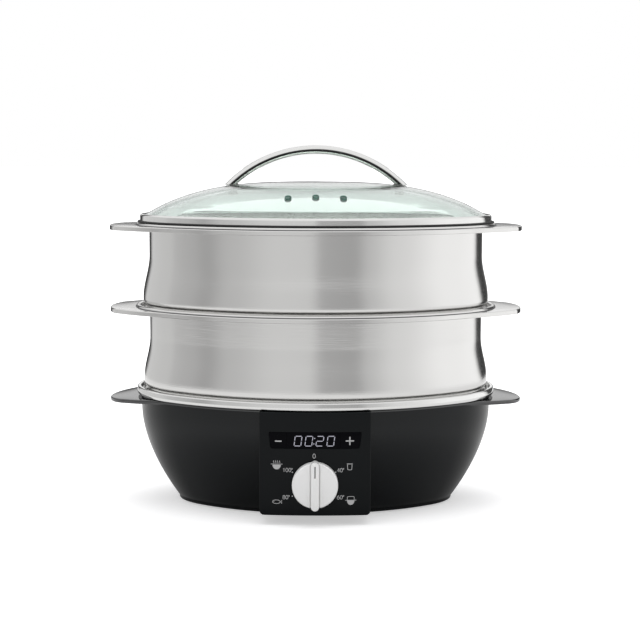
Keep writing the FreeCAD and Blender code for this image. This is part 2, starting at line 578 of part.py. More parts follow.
# ---- control panel ----
def panel_block(inset, deeper=0.0):
    """Bowed front block of the panel, moved in by a wall thickness on every side but the back."""
    half, back = PANEL_HALF - inset, deeper - PANEL_BACK
    front, edge = -PANEL_FRONT + inset, -PANEL_FRONT + PANEL_BOW + inset
    plan = Part.Face(Part.Wire([
        Part.Arc(Vector(-half, edge, 0), Vector(0, front, 0), Vector(half, edge, 0)).toShape(),
        Part.makeLine(Vector(half, edge, 0), Vector(half, back, 0)),
        Part.makeLine(Vector(half, back, 0), Vector(-half, back, 0)),
        Part.makeLine(Vector(-half, back, 0), Vector(-half, edge, 0)),
    ]))
    low, high = PANEL_BOTTOM_Z + inset, PANEL_TOP_Z - inset
    block = plan.extrude(Vector(0, 0, high - low))
    block.translate(Vector(0, 0, low))
    corner = max(PANEL_CORNER - inset, PANEL_TOP_CORNER)
    sides = [(-half, low, corner), (half, low, corner), (half, high, PANEL_TOP_CORNER),
             (-half, high, PANEL_TOP_CORNER)]
    return block.common(upright_prism(sides, -PANEL_FRONT - 20, back))


def upright_prism(corners, front, back):
    """Prism along Y from (x, z, radius) corners."""
    face = Part.Face(rounded_plan(corners))
    face.rotate(Vector(), Vector(1, 0, 0), 90)
    face.translate(Vector(0, front, 0))
    return face.extrude(Vector(0, back - front, 0))


def window_prism(left, right, grow):
    """Prism through the panel front in the outline of the window strip, between two x limits."""
    low, high = WINDOW_BOTTOM_Z - grow, WINDOW_TOP_Z + grow
    wide, narrow = WINDOW_HALF + grow, WINDOW_HALF - WINDOW_NARROWING + grow
    corners = [(-narrow, low, WINDOW_CORNER), (narrow, low, WINDOW_CORNER), (wide, high, WINDOW_CORNER / 2),
               (-wide, high, WINDOW_CORNER / 2)]
    strip = upright_prism(corners, -PANEL_FRONT - 5, -PANEL_FRONT + 20)
    return strip.common(box(left, right, -PANEL_FRONT - 6, -PANEL_FRONT + 21, low - 1, high + 1))


def window_skin():
    return panel_block(0).cut(panel_block(WINDOW_THICK))


def control_panel():
    shell = panel_block(0).cut(panel_block(PANEL_WALL, PANEL_WALL))
    for behind in (bowl_solid(), oval_prism(RIM_HALF, RIM_BOTTOM_Z - 1, PANEL_TOP_Z + 1)):
        shell = shell.cut(behind)
    shell = max(shell.Solids, key=lambda s: s.Volume)
    inner_front = -PANEL_FRONT + PANEL_WALL
    shell = shell.fuse([rod_y(BOARD_SCREW_RADIUS + 1.5, x, z, inner_front - 0.5, DISPLAY_BOARD_Y)
                        for x, z in BOARD_SCREW_POINTS])
    cuts = [window_prism(-PANEL_HALF, PANEL_HALF, WINDOW_CLEARANCE),
            rod_y(BUSH_RADIUS + 0.1, 0, KNOB_Z, -PANEL_FRONT - 5, inner_front + 5)]
    cuts += [rod_y(BOARD_SCREW_RADIUS, x, z, inner_front + 1.5, DISPLAY_BOARD_Y + 1)
             for x, z in BOARD_SCREW_POINTS]
    for cut in cuts:
        shell = shell.cut(cut)
    return solid_of(shell)


def display_window():
    return solid_of(window_skin().common(window_prism(MINUS_KEY_EDGE, PLUS_KEY_EDGE, 0)))


def key(left, right, middle):
    """A cap cut from the window's skin, with a post behind it that reaches to its switch."""
    cap = window_skin().common(window_prism(left, right, 0))
    post = rod_y(KEY_POST_RADIUS, middle, WINDOW_MIDDLE_Z, -PANEL_FRONT + WINDOW_THICK - 0.3,
                 DISPLAY_BOARD_Y - SWITCH_CAP - KEY_POST_GAP)
    return solid_of(cap.fuse(post).removeSplitter())


def minus_key():
    return key(-PANEL_HALF, MINUS_KEY_EDGE - WINDOW_CLEARANCE, KEY_MIDDLES[0])


def plus_key():
    return key(PLUS_KEY_EDGE + WINDOW_CLEARANCE, PANEL_HALF, KEY_MIDDLES[1])


def display_board():
    board = box(-DISPLAY_BOARD_HALF, DISPLAY_BOARD_HALF, DISPLAY_BOARD_Y, DISPLAY_BOARD_Y + BOARD_THICK,
                *DISPLAY_BOARD_Z)
    holes = [rod_y(BOARD_SCREW_RADIUS + 0.2, x, z, DISPLAY_BOARD_Y - 1, DISPLAY_BOARD_Y + BOARD_THICK + 1)
             for x, z in BOARD_SCREW_POINTS]
    return solid_of(board.cut(group(holes)))


def board_screws():
    back = DISPLAY_BOARD_Y + BOARD_THICK
    screws = []
    for x, z in BOARD_SCREW_POINTS:
        shank = rod_y(BOARD_SCREW_RADIUS, x, z, DISPLAY_BOARD_Y - 4, back)
        head = rod_y(2 * BOARD_SCREW_RADIUS, x, z, back, back + 1.4)
        screws.append(solid_of(shank.fuse(head).removeSplitter()))
    return group(screws)


def display_module():
    front = -PANEL_FRONT + WINDOW_THICK + 0.75
    return box(MINUS_KEY_EDGE + 2, PLUS_KEY_EDGE - 2, front, DISPLAY_BOARD_Y, WINDOW_BOTTOM_Z + 0.8,
               WINDOW_TOP_Z - 0.8)


def key_switches():
    z = WINDOW_MIDDLE_Z
    switches = []
    for x in KEY_MIDDLES:
        can = box(x - 3, x + 3, DISPLAY_BOARD_Y - SWITCH_CAP + 0.3, DISPLAY_BOARD_Y, z - 3, z + 3)
        cap = rod_y(1.7, x, z, DISPLAY_BOARD_Y - SWITCH_CAP, DISPLAY_BOARD_Y - 3)
        switches.append(solid_of(can.fuse(cap).removeSplitter()))
    return group(switches)


def control_knob():
    """Turned disc with a bevelled edge, a full-height grip bar, and a hollow back over the nut."""
    back, front = KNOB_BACK, KNOB_BACK - KNOB_DISC
    disc = rod_y(KNOB_RADIUS, 0, KNOB_Z, front + KNOB_EDGE, back)
    edge = Part.makeCone(KNOB_RADIUS - KNOB_EDGE, KNOB_RADIUS, KNOB_EDGE, Vector(0, front, KNOB_Z),
                         Vector(0, 1, 0))
    half, length = GRIP_WIDTH / 2, GRIP_LENGTH / 2
    corners = [(x, z, half - 0.01) for x, z in ((-half, KNOB_Z - length), (half, KNOB_Z - length),
                                                (half, KNOB_Z + length), (-half, KNOB_Z + length))]
    bar = upright_prism(corners, front - GRIP_HEIGHT, back - 1.5)
    knob = disc.fuse([edge, bar]).removeSplitter()
    knob = knob.cut(rod_y(KNOB_HOLLOW_RADIUS, 0, KNOB_Z, back - KNOB_HOLLOW, back + 1))
    return solid_of(knob.cut(rod_y(SHAFT_RADIUS, 0, KNOB_Z, back - SHAFT_GRIP, back + 1)))


def knob_shaft():
    return rod_y(SHAFT_RADIUS, 0, KNOB_Z, KNOB_BACK - SHAFT_GRIP, -PANEL_FRONT + SWITCH_DEPTH)


def selector_switch():
    """Rotary switch behind the panel with a bush that passes through it."""
    front = -PANEL_FRONT + PANEL_WALL + 0.3
    half = SWITCH_SIZE / 2
    body = box(-half, half, front, front + SWITCH_DEPTH, KNOB_Z - half, KNOB_Z + half)
    body = body.fuse(rod_y(BUSH_RADIUS, 0, KNOB_Z, -PANEL_FRONT - BUSH_LENGTH, front))
    back, low = front + SWITCH_DEPTH, KNOB_Z - half + 2
    tags = [box(x - 1, x + 1, back - 1, back + 5, low, low + 0.8) for x in (-8, -4, 0, 4, 8)]
    body = body.fuse(tags).removeSplitter()
    bore = rod_y(SHAFT_RADIUS + SHAFT_CLEARANCE, 0, KNOB_Z,
                 -PANEL_FRONT - 5, -PANEL_FRONT + SWITCH_DEPTH + 0.5)
    return solid_of(body.cut(bore))


def bush_nut():
    corners = [math.radians(60 * i) for i in range(6)]
    nut = Part.Face(outline(*((NUT_RADIUS * math.cos(a), KNOB_Z + NUT_RADIUS * math.sin(a))
                              for a in corners)))
    nut.translate(Vector(0, -PANEL_FRONT - NUT_THICK, 0))
    nut = nut.extrude(Vector(0, NUT_THICK, 0))
    return solid_of(nut.cut(rod_y(BUSH_RADIUS, 0, KNOB_Z, -PANEL_FRONT - NUT_THICK - 1, -PANEL_FRONT + 1)))


# ---- tiers ----
def juice_tray():
    """Trough round the oval opening that the chimney stands on."""
    t = TRAY_WALL
    rim = TRAY_SEAT_Z
    return oval_ring(
        (TRAY_RIM_HALF, rim), (TRAY_RIM_HALF, rim + TRAY_RIM_THICK), (TRAY_HALF - t, rim + TRAY_RIM_THICK),
        (TRAY_HALF - t - TRAY_DRAFT, TRAY_FLOOR_Z + t), (CHIMNEY_HALF, TRAY_FLOOR_Z + t),
        (CHIMNEY_HALF, TRAY_FLOOR_Z), (TRAY_HALF - TRAY_DRAFT, TRAY_FLOOR_Z), (TRAY_HALF, rim))


def steam_chimney():
    """Oval collar inside the trough that lets the steam through."""
    outer, low = CHIMNEY_HALF + TRAY_WALL, TRAY_FLOOR_Z + TRAY_WALL
    return oval_ring((outer, low), (outer, CHIMNEY_TOP_Z),
                     (CHIMNEY_HALF, CHIMNEY_TOP_Z), (CHIMNEY_HALF, low))


def basket_wall(z):
    """Pressed sheet: a belly at the bottom, a narrower neck, a ledge and upstand for the next tier, and a
    flat flange with a tab at each end and a turned-down lip."""
    t, belly, neck, bead = BASKET_SHEET, BELLY_HALF, NECK_HALF, BEAD_HALF
    ledge, top = z + BASKET_PITCH, z + BASKET_PITCH + BASKET_UPSTAND
    flange, neck_low = ledge + BASKET_FLANGE_RISE, ledge - BASKET_NECK_HEIGHT
    round_in, round_up = 0.29 * BASKET_BELLY_LOW, z + 0.29 * BASKET_BELLY_LOW
    wall = oval_ring(
        (FLOOR_LEDGE_HALF, z), (belly - BASKET_BELLY_LOW, z), (belly - round_in, round_up),
        (belly, z + BASKET_BELLY_LOW), (belly, z + BASKET_BELLY_HIGH), (neck, neck_low), (neck, ledge - t),
        (bead, ledge - t), (bead, top - 1.2), (bead - 1.2, top), (STACK_HALF, top), (STACK_HALF, ledge),
        (neck - t, ledge), (neck - t, neck_low), (belly - t, z + BASKET_BELLY_HIGH), (belly - t, z + t),
        (FLOOR_LEDGE_HALF, z + t))
    plan = eared_plan(FLANGE_HALF, TAB_REACH, TAB_ROOT, TAB_END_SHARE, TAB_TIP_RADIUS, TAB_CORNER_RADIUS,
                      flange - t)
    plate = plan.extrude(Vector(0, 0, t))
    lip = plan.cut(plan.makeOffset2D(-t, 0)).extrude(Vector(0, 0, t - BASKET_LIP))
    plate = plate.fuse(lip).cut(oval_prism(bead - 1, flange - BASKET_LIP - 1, flange + 1))
    return solid_of(wall.fuse(plate).removeSplitter())


def basket_floor(z):
    """Perforated plate on the turned-in edge of the wall."""
    low = z + BASKET_SHEET
    plate = oval_prism(FLOOR_HALF, low, low + FLOOR_THICK)
    points = [(0, 0)]
    for share, count in zip(FLOOR_RING_SHARES, FLOOR_RING_COUNTS):
        half = END_CENTRE + share * (FLOOR_HALF - END_CENTRE)
        points += [oval_point(half, (i + 0.5) / count) for i in range(count)]
    holes = [rod(FLOOR_HOLE_RADIUS, x, y, low - 1, low + FLOOR_THICK + 1) for x, y in points]
    return solid_of(plate.cut(group(holes)))


def lower_basket_wall():
    return basket_wall(TANK_SEAT_Z)


def upper_basket_wall():
    return basket_wall(UPPER_BASKET_Z)


def lower_basket_floor():
    return basket_floor(TANK_SEAT_Z)


def upper_basket_floor():
    return basket_floor(UPPER_BASKET_Z)


# ---- lid ----
def lid_rim():
    """Rolled band round the glass with a skirt that drops inside the basket's upstand."""
    t, z, top = LID_SHEET, LID_Z, LID_Z + LID_BAND_HEIGHT
    skirt, lip = LID_SKIRT_HALF, GLASS_HALF - LID_LIP_WIDTH
    band, flange = skirt + LID_BAND_STEP, skirt + LID_FLANGE_WIDTH
    return oval_ring(
        (skirt - t, z - LID_SKIRT_DEPTH), (skirt, z - LID_SKIRT_DEPTH), (skirt, z), (flange, z),
        (flange, z + t), (band, z + t), (band, top - 1.2), (band - 1.2, top), (lip, top), (lip, top - t),
        (skirt - t, top - t))


def glass_levels(inset):
    """(half width, z) of the glass face from the edge to the crown, moved in along its normal."""
    outer = [(GLASS_HALF * (1 - inward), GLASS_EDGE_Z + up) for inward, up in GLASS_RISE]
    levels = []
    for i, (half, z) in enumerate(outer):
        before, after = outer[max(i - 1, 0)], outer[min(i + 1, len(outer) - 1)]
        run, rise = before[0] - after[0], after[1] - before[1]
        length = math.hypot(run, rise)
        levels.append((half - inset * rise / length, z - inset * run / length))
    return levels


def dome(levels, bottom):
    """Ruled stack of ovals of one proportion over the levels, closed below at a given height."""
    stack = [(levels[0][0], bottom)] + [level for level in levels if level[1] > bottom]
    rings = []
    for half, z in stack:
        arcs = oval_arcs(END_CENTRE * half / GLASS_HALF, half * (1 - GLASS_HALF_DEPTH / GLASS_HALF))
        rings.append(oval_wire(half, z, arcs))
    return Part.makeLoft(rings, True, True)


def lid_glass():
    outer, inner = glass_levels(0), glass_levels(GLASS_THICK)
    bottom = GLASS_EDGE_Z - GLASS_THICK + 1
    glass = dome(outer, bottom).cut(dome(inner, bottom - 5))
    holes = [rod(VENT_RADIUS, i * VENT_SPACING, VENT_Y, GLASS_EDGE_Z, GLASS_EDGE_Z + 60) for i in (-1, 0, 1)]
    holes += [along_root(side, HANDLE_SCREW_RADIUS + 0.6, -12, 12) for side in (-1, 1)]
    return solid_of(glass.cut(group(holes)))


def root_point():
    """Height of the glass and its fall, in radians, where a handle root stands."""
    levels = glass_levels(0)
    (low_half, low_z), (high_half, high_z) = next(
        pair for pair in zip(levels, levels[1:]) if pair[1][0] <= HANDLE_ROOT <= pair[0][0])
    fall = math.atan2(high_z - low_z, low_half - high_half)
    return low_z + (low_half - HANDLE_ROOT) * math.tan(fall), fall


def along_root(side, radius, low, high):
    """Cylinder square to the glass at a handle root, from low to high above the glass."""
    z, lean = root_point()
    axis = Vector(side * math.sin(lean), 0, math.cos(lean))
    foot = Vector(side * HANDLE_ROOT, 0, z)
    return Part.makeCylinder(radius, high - low, foot + axis * low, axis)


def handle_washers():
    washers = []
    for side in (-1, 1):
        bore = along_root(side, HANDLE_SCREW_RADIUS, -1, WASHER_THICK + 1)
        washers.append(along_root(side, WASHER_RADIUS, 0.1, WASHER_THICK).cut(bore))
    return group(washers)


def handle_screws():
    screws = []
    for side in (-1, 1):
        shank = along_root(side, HANDLE_SCREW_RADIUS, -GLASS_THICK - 1, HANDLE_SCREW_DEPTH)
        head = along_root(side, HANDLE_SCREW_HEAD_RADIUS, -GLASS_THICK - 2.8, -GLASS_THICK - 0.2)
        screws.append(solid_of(shank.fuse(head).removeSplitter()))
    return group(screws)


def lid_handle():
    """Arched bar of oval section, cut along the washers at both roots."""
    centre = HANDLE_TOP_Z - HANDLE_HEIGHT / 2 - HANDLE_RADIUS
    reach, steps = math.radians(HANDLE_REACH), 12
    sections = []
    for i in range(steps + 1):
        angle = reach * (2 * i / steps - 1)
        ring = Part.Ellipse(Vector(0, 0, 0), HANDLE_DEPTH / 2, HANDLE_HEIGHT / 2).toShape()
        ring.rotate(Vector(), Vector(0, 0, 1), 90)
        ring.rotate(Vector(), Vector(0, 1, 0), -90 + math.degrees(angle))
        ring.translate(Vector(HANDLE_RADIUS * math.sin(angle), 0, centre + HANDLE_RADIUS * math.cos(angle)))
        sections.append(Part.Wire([ring]))
    arch = Part.makeLoft(sections, True, True)
    for side in (-1, 1):
        arch = arch.cut(along_root(side, HANDLE_RADIUS / 2, -HANDLE_RADIUS, WASHER_THICK))
        arch = arch.cut(along_root(side, HANDLE_SCREW_RADIUS, -1, HANDLE_SCREW_DEPTH))
    return max(arch.Solids, key=lambda s: s.Volume)


NODES = (
    base_housing, bottom_cover, rubber_feet, cover_screws, base_rim, tank_seal, water_tank, tank_rim,
    heating_plate, heating_element, thermostat, temperature_probe, probe_seal, power_board, relay,
    terminal_block, cord_gland, control_panel, display_window, minus_key, plus_key, display_board,
    board_screws, display_module, key_switches, selector_switch, bush_nut, knob_shaft, control_knob,
    juice_tray, steam_chimney, lower_basket_wall, lower_basket_floor, upper_basket_wall,
    upper_basket_floor, lid_rim, lid_glass, handle_washers, handle_screws, lid_handle,
)

front_most = PANEL_FRONT + KNOB_GAP + KNOB_DISC + GRIP_HEIGHT
back_most = gland_back() + GLAND_FLANGE_THICK + GLAND_NOSE
for make in NODES:
    placed = make().translated(Vector(0, (front_most - back_most) / 2, 0))
    placed.exportStep(os.path.join("parts", make.__name__ + ".step"))
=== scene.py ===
"""Oval electric food steamer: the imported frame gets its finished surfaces, materials, light and camera."""
import math

import bpy
import numpy as np
from bpy.props import FloatProperty, FloatVectorProperty, IntProperty, PointerProperty
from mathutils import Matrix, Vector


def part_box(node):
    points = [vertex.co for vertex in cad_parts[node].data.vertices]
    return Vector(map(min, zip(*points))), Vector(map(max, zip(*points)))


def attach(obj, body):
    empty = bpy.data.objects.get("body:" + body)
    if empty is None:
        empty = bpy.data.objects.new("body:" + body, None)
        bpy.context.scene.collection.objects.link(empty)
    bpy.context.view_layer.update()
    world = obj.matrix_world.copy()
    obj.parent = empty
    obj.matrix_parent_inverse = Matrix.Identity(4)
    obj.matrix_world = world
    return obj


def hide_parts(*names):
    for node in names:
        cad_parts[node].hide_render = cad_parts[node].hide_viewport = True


bl_info = {
    "name": "Oval Food Steamer",
    "version": (1, 0, 0),
    "blender": (4, 5, 0),
    "location": "View3D > Sidebar > Steamer",
    "description": "Builds the finished surfaces of a two-tier oval food steamer round its frame",
    "category": "Add Mesh",
}

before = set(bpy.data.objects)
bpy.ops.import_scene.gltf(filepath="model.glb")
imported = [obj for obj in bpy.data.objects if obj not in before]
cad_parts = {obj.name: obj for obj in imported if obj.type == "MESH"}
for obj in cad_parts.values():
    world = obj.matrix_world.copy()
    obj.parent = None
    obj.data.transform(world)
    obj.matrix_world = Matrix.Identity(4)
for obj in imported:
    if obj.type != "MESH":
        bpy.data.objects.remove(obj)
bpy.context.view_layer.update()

MM = 0.001                      # the surfaces are worked out in millimetres and scaled as they become meshes
MIDDLE_Y = sum(corner.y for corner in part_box("water_tank")) / 2 / MM
TURN = 2 * math.pi


# ---- sizes and colours ----
def length(name, default, description):
    return FloatProperty(name=name, description=description, default=default * MM, unit="LENGTH", precision=4)


def colour(name, default, description):
    return FloatVectorProperty(name=name, description=description, default=default, subtype="COLOR", size=3,
                               min=0.0, max=1.0)


class StackSizes(bpy.types.PropertyGroup):
    """Half widths and heights that the tiers share."""
    stack_half: length("Stack half width", 168.2, "Inside of the upstands that the tiers stand in")
    difference: length("Depth difference", 50.0, "Half width less half depth of every oval")
    end_centre: length("End centre", 77.0, "Centre of the two end arcs, from the middle")
    bead: length("Bead", 4.0, "Width of the rims outside their upstands")
    belly_gap: length("Belly gap", 2.7, "How far a basket's belly stays inside an upstand")
    sheet: length("Sheet", 1.2, "Thickness of the steel")
    pitch: length("Basket pitch", 78.0, "From one basket to the next")
    seat_z: length("Seat height", 106.0, "Ledge that the lower basket stands on")
    steps: IntProperty(name="Steps round", description="Points round each oval", default=360, min=96, max=720)


class BaseSizes(bpy.types.PropertyGroup):
    """Sizes of the base, its rim and its panel."""
    half: length("Base half width", 167.9, "Half width of the moulding at its shoulder")
    wall: length("Base wall", 2.5, "Thickness of the moulding and of the panel")
    foot_half: length("Foot half width", 132.9, "Half width of the moulding at its foot")
    foot_z: length("Foot height", 4.0, "Where the moulding meets the bottom cover")
    shoulder_z: length("Shoulder height", 90.0, "Where the curve ends and the wall turns upright")
    rim_z: length("Rim height", 101.0, "Underside of the rim with the two ears")
    rim_thick: length("Rim thickness", 2.4, "Thickness of the rim where it has no ear")
    rim_proud: length("Rim overhang", 1.0, "How far the rim stands out from the moulding")
    ear_reach: length("Ear reach", 29.4, "How far the ears stand out from the rim")
    ear_thick: length("Ear thickness", 3.8, "Thickness of the ears")
    panel_half: length("Panel half width", 50.0, "Half width of the control panel")
    panel_front: length("Panel front", 123.0, "Middle of the bowed front, from the middle of the base")
    panel_bow: length("Panel bow", 3.0, "How far the sides of the panel fall back")
    window_low: length("Window bottom", 70.4, "Bottom of the window strip and its two keys")
    window_high: length("Window top", 85.0, "Top of the window strip and its two keys")
    window_half: length("Window half width", 41.5, "Half width of the window strip at its top")
    window_slant: length("Window slant", 1.7, "How far the strip's ends lean in towards its bottom")
    knob_z: length("Knob height", 38.1, "Middle of the knob above the floor")
    knob_radius: length("Knob radius", 20.65, "Radius of the knob's disc")


class LidSizes(bpy.types.PropertyGroup):
    """Sizes of the glass lid and its handle."""
    z: length("Lid height", 267.5, "Where the lid rests on the upper basket")
    band_height: length("Band height", 8.0, "Height of the steel band round the glass")
    glass_half: length("Glass half width", 165.4, "Half width of the glass at its edge")
    glass_thick: length("Glass thickness", 4.0, "Thickness of the glass")
    glass_rise: length("Glass rise", 32.4, "Crown of the glass above its edge")
    shoulder_rise: length("Shoulder rise", 10.0, "Shoulder of the glass above its edge")
    vent_radius: length("Vent radius", 3.2, "Radius of the three steam vents")
    handle_radius: length("Handle radius", 117.0, "Centre line of the arched handle")
    handle_top: length("Handle top", 340.4, "Top of the handle above the floor")
    handle_depth: length("Handle depth", 16.0, "Width of the handle from front to back")
    handle_height: length("Handle height", 8.0, "Height of the handle's section")
    root_x: length("Handle root", 80.0, "Where either root meets the glass, from the middle")
    root_z: length("Root height", 302.3, "Height of the glass under the roots")


class Finishes(bpy.types.PropertyGroup):
    """Colours of the finishes."""
    moulding: colour("Moulding", (0.0038, 0.0050, 0.0058), "Matte black moulding")
    window: colour("Window", (0.004, 0.004, 0.005), "Glossy black window strip")
    steel: colour("Steel", (0.72, 0.715, 0.705), "Brushed steel")
    glass: colour("Glass", (0.87, 0.94, 0.91), "Greenish lid glass")
    print: colour("Print", (0.52, 0.52, 0.52), "Printed marks on the panel")
    digits: colour("Digits", (0.46, 0.46, 0.53), "Lit digits in the window")


def sizes(name):
    """One group of sizes, in millimetres, as plain numbers."""
    group = getattr(bpy.context.scene, "steamer_" + name)
    return {key: getattr(group, key) / (1 if key == "steps" else MM) for key in group.__annotations__}


# ---- surfaces ----
def sheet_of(points, closed=False):
    """A grid (rows, columns, 3) as points and faces.  Each row is a ring.  The last row joins the first one
    if closed, and otherwise a fan to its middle closes either end."""
    rows, columns = points.shape[:2]
    i, j = np.meshgrid(np.arange(rows - (not closed)), np.arange(columns), indexing="ij")
    i_next, j_next = (i + 1) % rows, (j + 1) % columns
    corners = (i, j), (i, j_next), (i_next, j_next), (i_next, j)
    quads = np.stack([row * columns + column for row, column in corners], -1)
    flat, faces = points.reshape(-1, 3), [quads.reshape(-1, 4)]
    if not closed:
        flat = np.vstack([flat, points[0].mean(0), points[-1].mean(0)])
        first = np.arange(columns)
        last = first + (rows - 1) * columns
        for cap, (ring, onward) in enumerate(((np.roll(first, -1), first), (last, np.roll(last, -1)))):
            middle = np.full(columns, rows * columns + cap)
            faces.append(np.stack([ring, onward, middle, middle], -1))
    return flat, np.vstack(faces)


def outward(points, faces):
    """Turns the faces of a closed shape outwards, by the sign of its volume: the sum over its faces of the
    triple product of their corners."""
    a, b, c, d = (points[faces[:, k]] for k in range(4))
    volume = np.einsum("ij,ij->", a, np.cross(b, c)) + np.einsum("ij,ij->", a, np.cross(c, d))
    return faces if volume > 0 else faces[:, ::-1]


def make_piece(name, shapes, finish, body, replaces=(), sharp=40.0):
    """One mesh object from closed (points, faces) shapes in millimetres about the middle of the ovals.  It
    rides on a body and may stand for frame nodes."""
    corners, polygons, offset = [], [], 0
    for points, faces in shapes:
        corners.append(points)
        polygons.append(outward(points, faces) + offset)
        offset += len(points)
    corners = (np.vstack(corners) + (0.0, MIDDLE_Y, 0.0)) * MM
    polygons = np.vstack(polygons)
    fans = polygons[:, 2] == polygons[:, 3]
    mesh = bpy.data.meshes.new(name)
    mesh.from_pydata(corners.tolist(), [], polygons[~fans].tolist() + polygons[fans][:, :3].tolist())
    mesh.materials.append(finish_material(finish))
    mesh.shade_smooth()
    mesh.set_sharp_from_angle(angle=math.radians(sharp))
    piece = bpy.data.objects.new(name, mesh)
    bpy.context.scene.collection.objects.link(piece)
    if replaces:
        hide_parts(*replaces)
    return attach(piece, body)


def rounded(points, radii, steps=6):
    """A closed profile with its corners rounded.  Each corner P with tangent points S and E is the circular
    arc ((1-t)^2 S + 2wt(1-t) P + t^2 E) / ((1-t)^2 + 2wt(1-t) + t^2), where w is the sine of half the
    corner's angle.  A corner with radius 0 stays one point."""
    p = np.array(points, float)
    radii = np.broadcast_to(np.array(radii, float), len(p))
    back, ahead = np.roll(p, 1, 0) - p, np.roll(p, -1, 0) - p
    back /= np.linalg.norm(back, axis=1, keepdims=True)
    ahead /= np.linalg.norm(ahead, axis=1, keepdims=True)
    half = np.arccos(np.clip((back * ahead).sum(1), -1, 1)) / 2
    reach = (radii / np.maximum(np.tan(half), 1e-6))[:, None]
    start, end = p + back * reach, p + ahead * reach
    t = np.linspace(0, 1, steps)[None, :, None]
    w = np.sin(half)[:, None, None]
    weights = ((1 - t) ** 2, 2 * w * t * (1 - t), t ** 2)
    arcs = sum(weight * point[:, None] for weight, point in zip(weights, (start, p, end))) / sum(weights)
    keep = np.ones(arcs.shape[:2], bool)
    keep[radii == 0, 1:] = False
    return arcs[keep]


def block(left, right, low, high, radius, steps=6):
    """The rounded outline of an upright rectangle."""
    return rounded([(left, low), (right, low), (right, high), (left, high)], radius, steps)


def quarter(radius, steps=6):
    """Rows of r (1 - sin a), r (1 - cos a) for a from 0 to 90 degrees: both offsets along a rounded edge."""
    a = np.linspace(0, math.pi / 2, steps)
    return radius * np.column_stack([1 - np.sin(a), 1 - np.cos(a)])


def smooth_step(t):
    """3t^2 - 2t^3: from 0 to 1 with level ends."""
    return t * t * (3 - 2 * t)


def at_height(plan, z):
    """Plan points (..., 2) with their heights as the third coordinate."""
    return np.concatenate([plan, np.broadcast_to(np.asarray(z)[..., None], plan.shape[:-1] + (1,))], -1)


class Oval:
    """Four tangent arcs.  Seen by its outward direction D at angle t, a point of the oval of half width a is
    C + a D, where C is the arc's centre less D times what the radius falls short of a."""

    def __init__(self, end_centre, difference, steps):
        self.side = side = difference * (2 * end_centre - difference) / (2 * (end_centre - difference))
        t = np.arange(int(steps)) / int(steps) * TURN + math.pi / 2
        self.direction = np.stack([np.cos(t), np.sin(t)], -1)
        sign = np.sign(self.direction)
        at_end = np.abs(self.direction[:, 0]) > math.cos(math.atan2(side, end_centre))
        arc_centre = np.where(at_end[:, None], sign * (end_centre, 0), -sign * (0, side))
        self.centre = arc_centre - np.where(at_end, end_centre, difference - side)[:, None] * self.direction

    def ring(self, half):
        """The points of the oval of a half width."""
        return self.centre + half * self.direction

    def carry(self, profile):
        """A closed (half width, z) profile carried round the oval, as points and faces."""
        profile = np.asarray(profile, float)
        plan = self.centre + profile[:, 0, None, None] * self.direction
        return sheet_of(at_height(plan, profile[:, 1, None]), closed=True)


def main_oval():
    """The oval that the tiers share."""
    s = sizes("stack")
    return Oval(s["end_centre"], s["difference"], s["steps"])


def polar(points, angles, **ends):
    """Distance from the middle to an outline at the given angles, read off between its points."""
    angle = np.arctan2(points[:, 1], points[:, 0])
    order = np.argsort(angle)
    return np.interp(angles, angle[order], np.hypot(*points[order].T), **ends)


class EaredPlan:
    """Outline of an oval with a blunt ear at each end.  The distance from the middle at each angle is the
    larger of the oval's and the ear's, blended over a short stretch: (a + b + sqrt((a-b)^2 + k^2)) / 2."""

    def __init__(self, oval, half, difference, reach, root, end_share, tip_radius, corner_radius, blend=2.0):
        self.oval = oval
        depth, tip_centre = half - difference, half + reach - tip_radius
        root_x, root_y, end_y = half * root[0], depth * root[1], depth * end_share
        y = np.linspace(-end_y, end_y, 41)
        end = np.column_stack([tip_centre + np.sqrt(tip_radius ** 2 - y ** 2), y])
        corners = np.vstack([(root_x, -root_y), end, (root_x, root_y)])
        radii = np.zeros(len(corners))
        radii[[1, -2]] = corner_radius
        around = np.linspace(-math.pi, math.pi, len(oval.direction), endpoint=False)
        at_ears = np.linspace(-0.5, 0.5, 161)
        angles = np.sort(np.concatenate([around, at_ears, at_ears % TURN - math.pi]))
        self.angles = angles[np.diff(angles, prepend=-TURN) > 1e-4]
        self.unit = np.column_stack([np.cos(self.angles), np.sin(self.angles)])
        folded = np.arctan2(self.unit[:, 1], np.abs(self.unit[:, 0]))
        ear_at = polar(rounded(corners, radii, 24), folded, left=0, right=0)
        base = self.oval_at(half)
        blended = (base + ear_at + np.sqrt((base - ear_at) ** 2 + blend ** 2)) / 2
        self.outline = self.unit * np.where(ear_at > 0, np.maximum(blended, base), base)[:, None]
        tangent = np.roll(self.outline, -1, 0) - np.roll(self.outline, 1, 0)
        tangent /= np.linalg.norm(tangent, axis=1, keepdims=True)
        self.normal = np.column_stack([tangent[:, 1], -tangent[:, 0]])

    def oval_at(self, half):
        """Distance from the middle to the plain oval of a half width, at every angle."""
        return polar(self.oval.ring(half), self.angles, period=TURN)

    def oval_row(self, half, z):
        """The plain oval of a half width, at a height."""
        return at_height(self.unit * self.oval_at(half)[:, None], z)

    def row(self, inset, z, least=0.0):
        """The outline moved in by an inset, but never inside the oval of the least half width."""
        plan = self.outline - self.normal * inset
        if least:
            plan = plan * np.maximum(1, self.oval_at(least) / np.hypot(*plan.T))[:, None]
        return at_height(plan, z)


def turned(profile, z, steps=72):
    """Turns a closed (radius, y) profile about the line at height z along Y: r cos t, y, z + r sin t."""
    radius, y = np.asarray(profile, float).T[:, :, None]
    t = np.arange(steps) / steps * TURN
    grid = np.broadcast_arrays(radius * np.cos(t), y, z + radius * np.sin(t))
    return sheet_of(np.stack(grid, -1), closed=True)


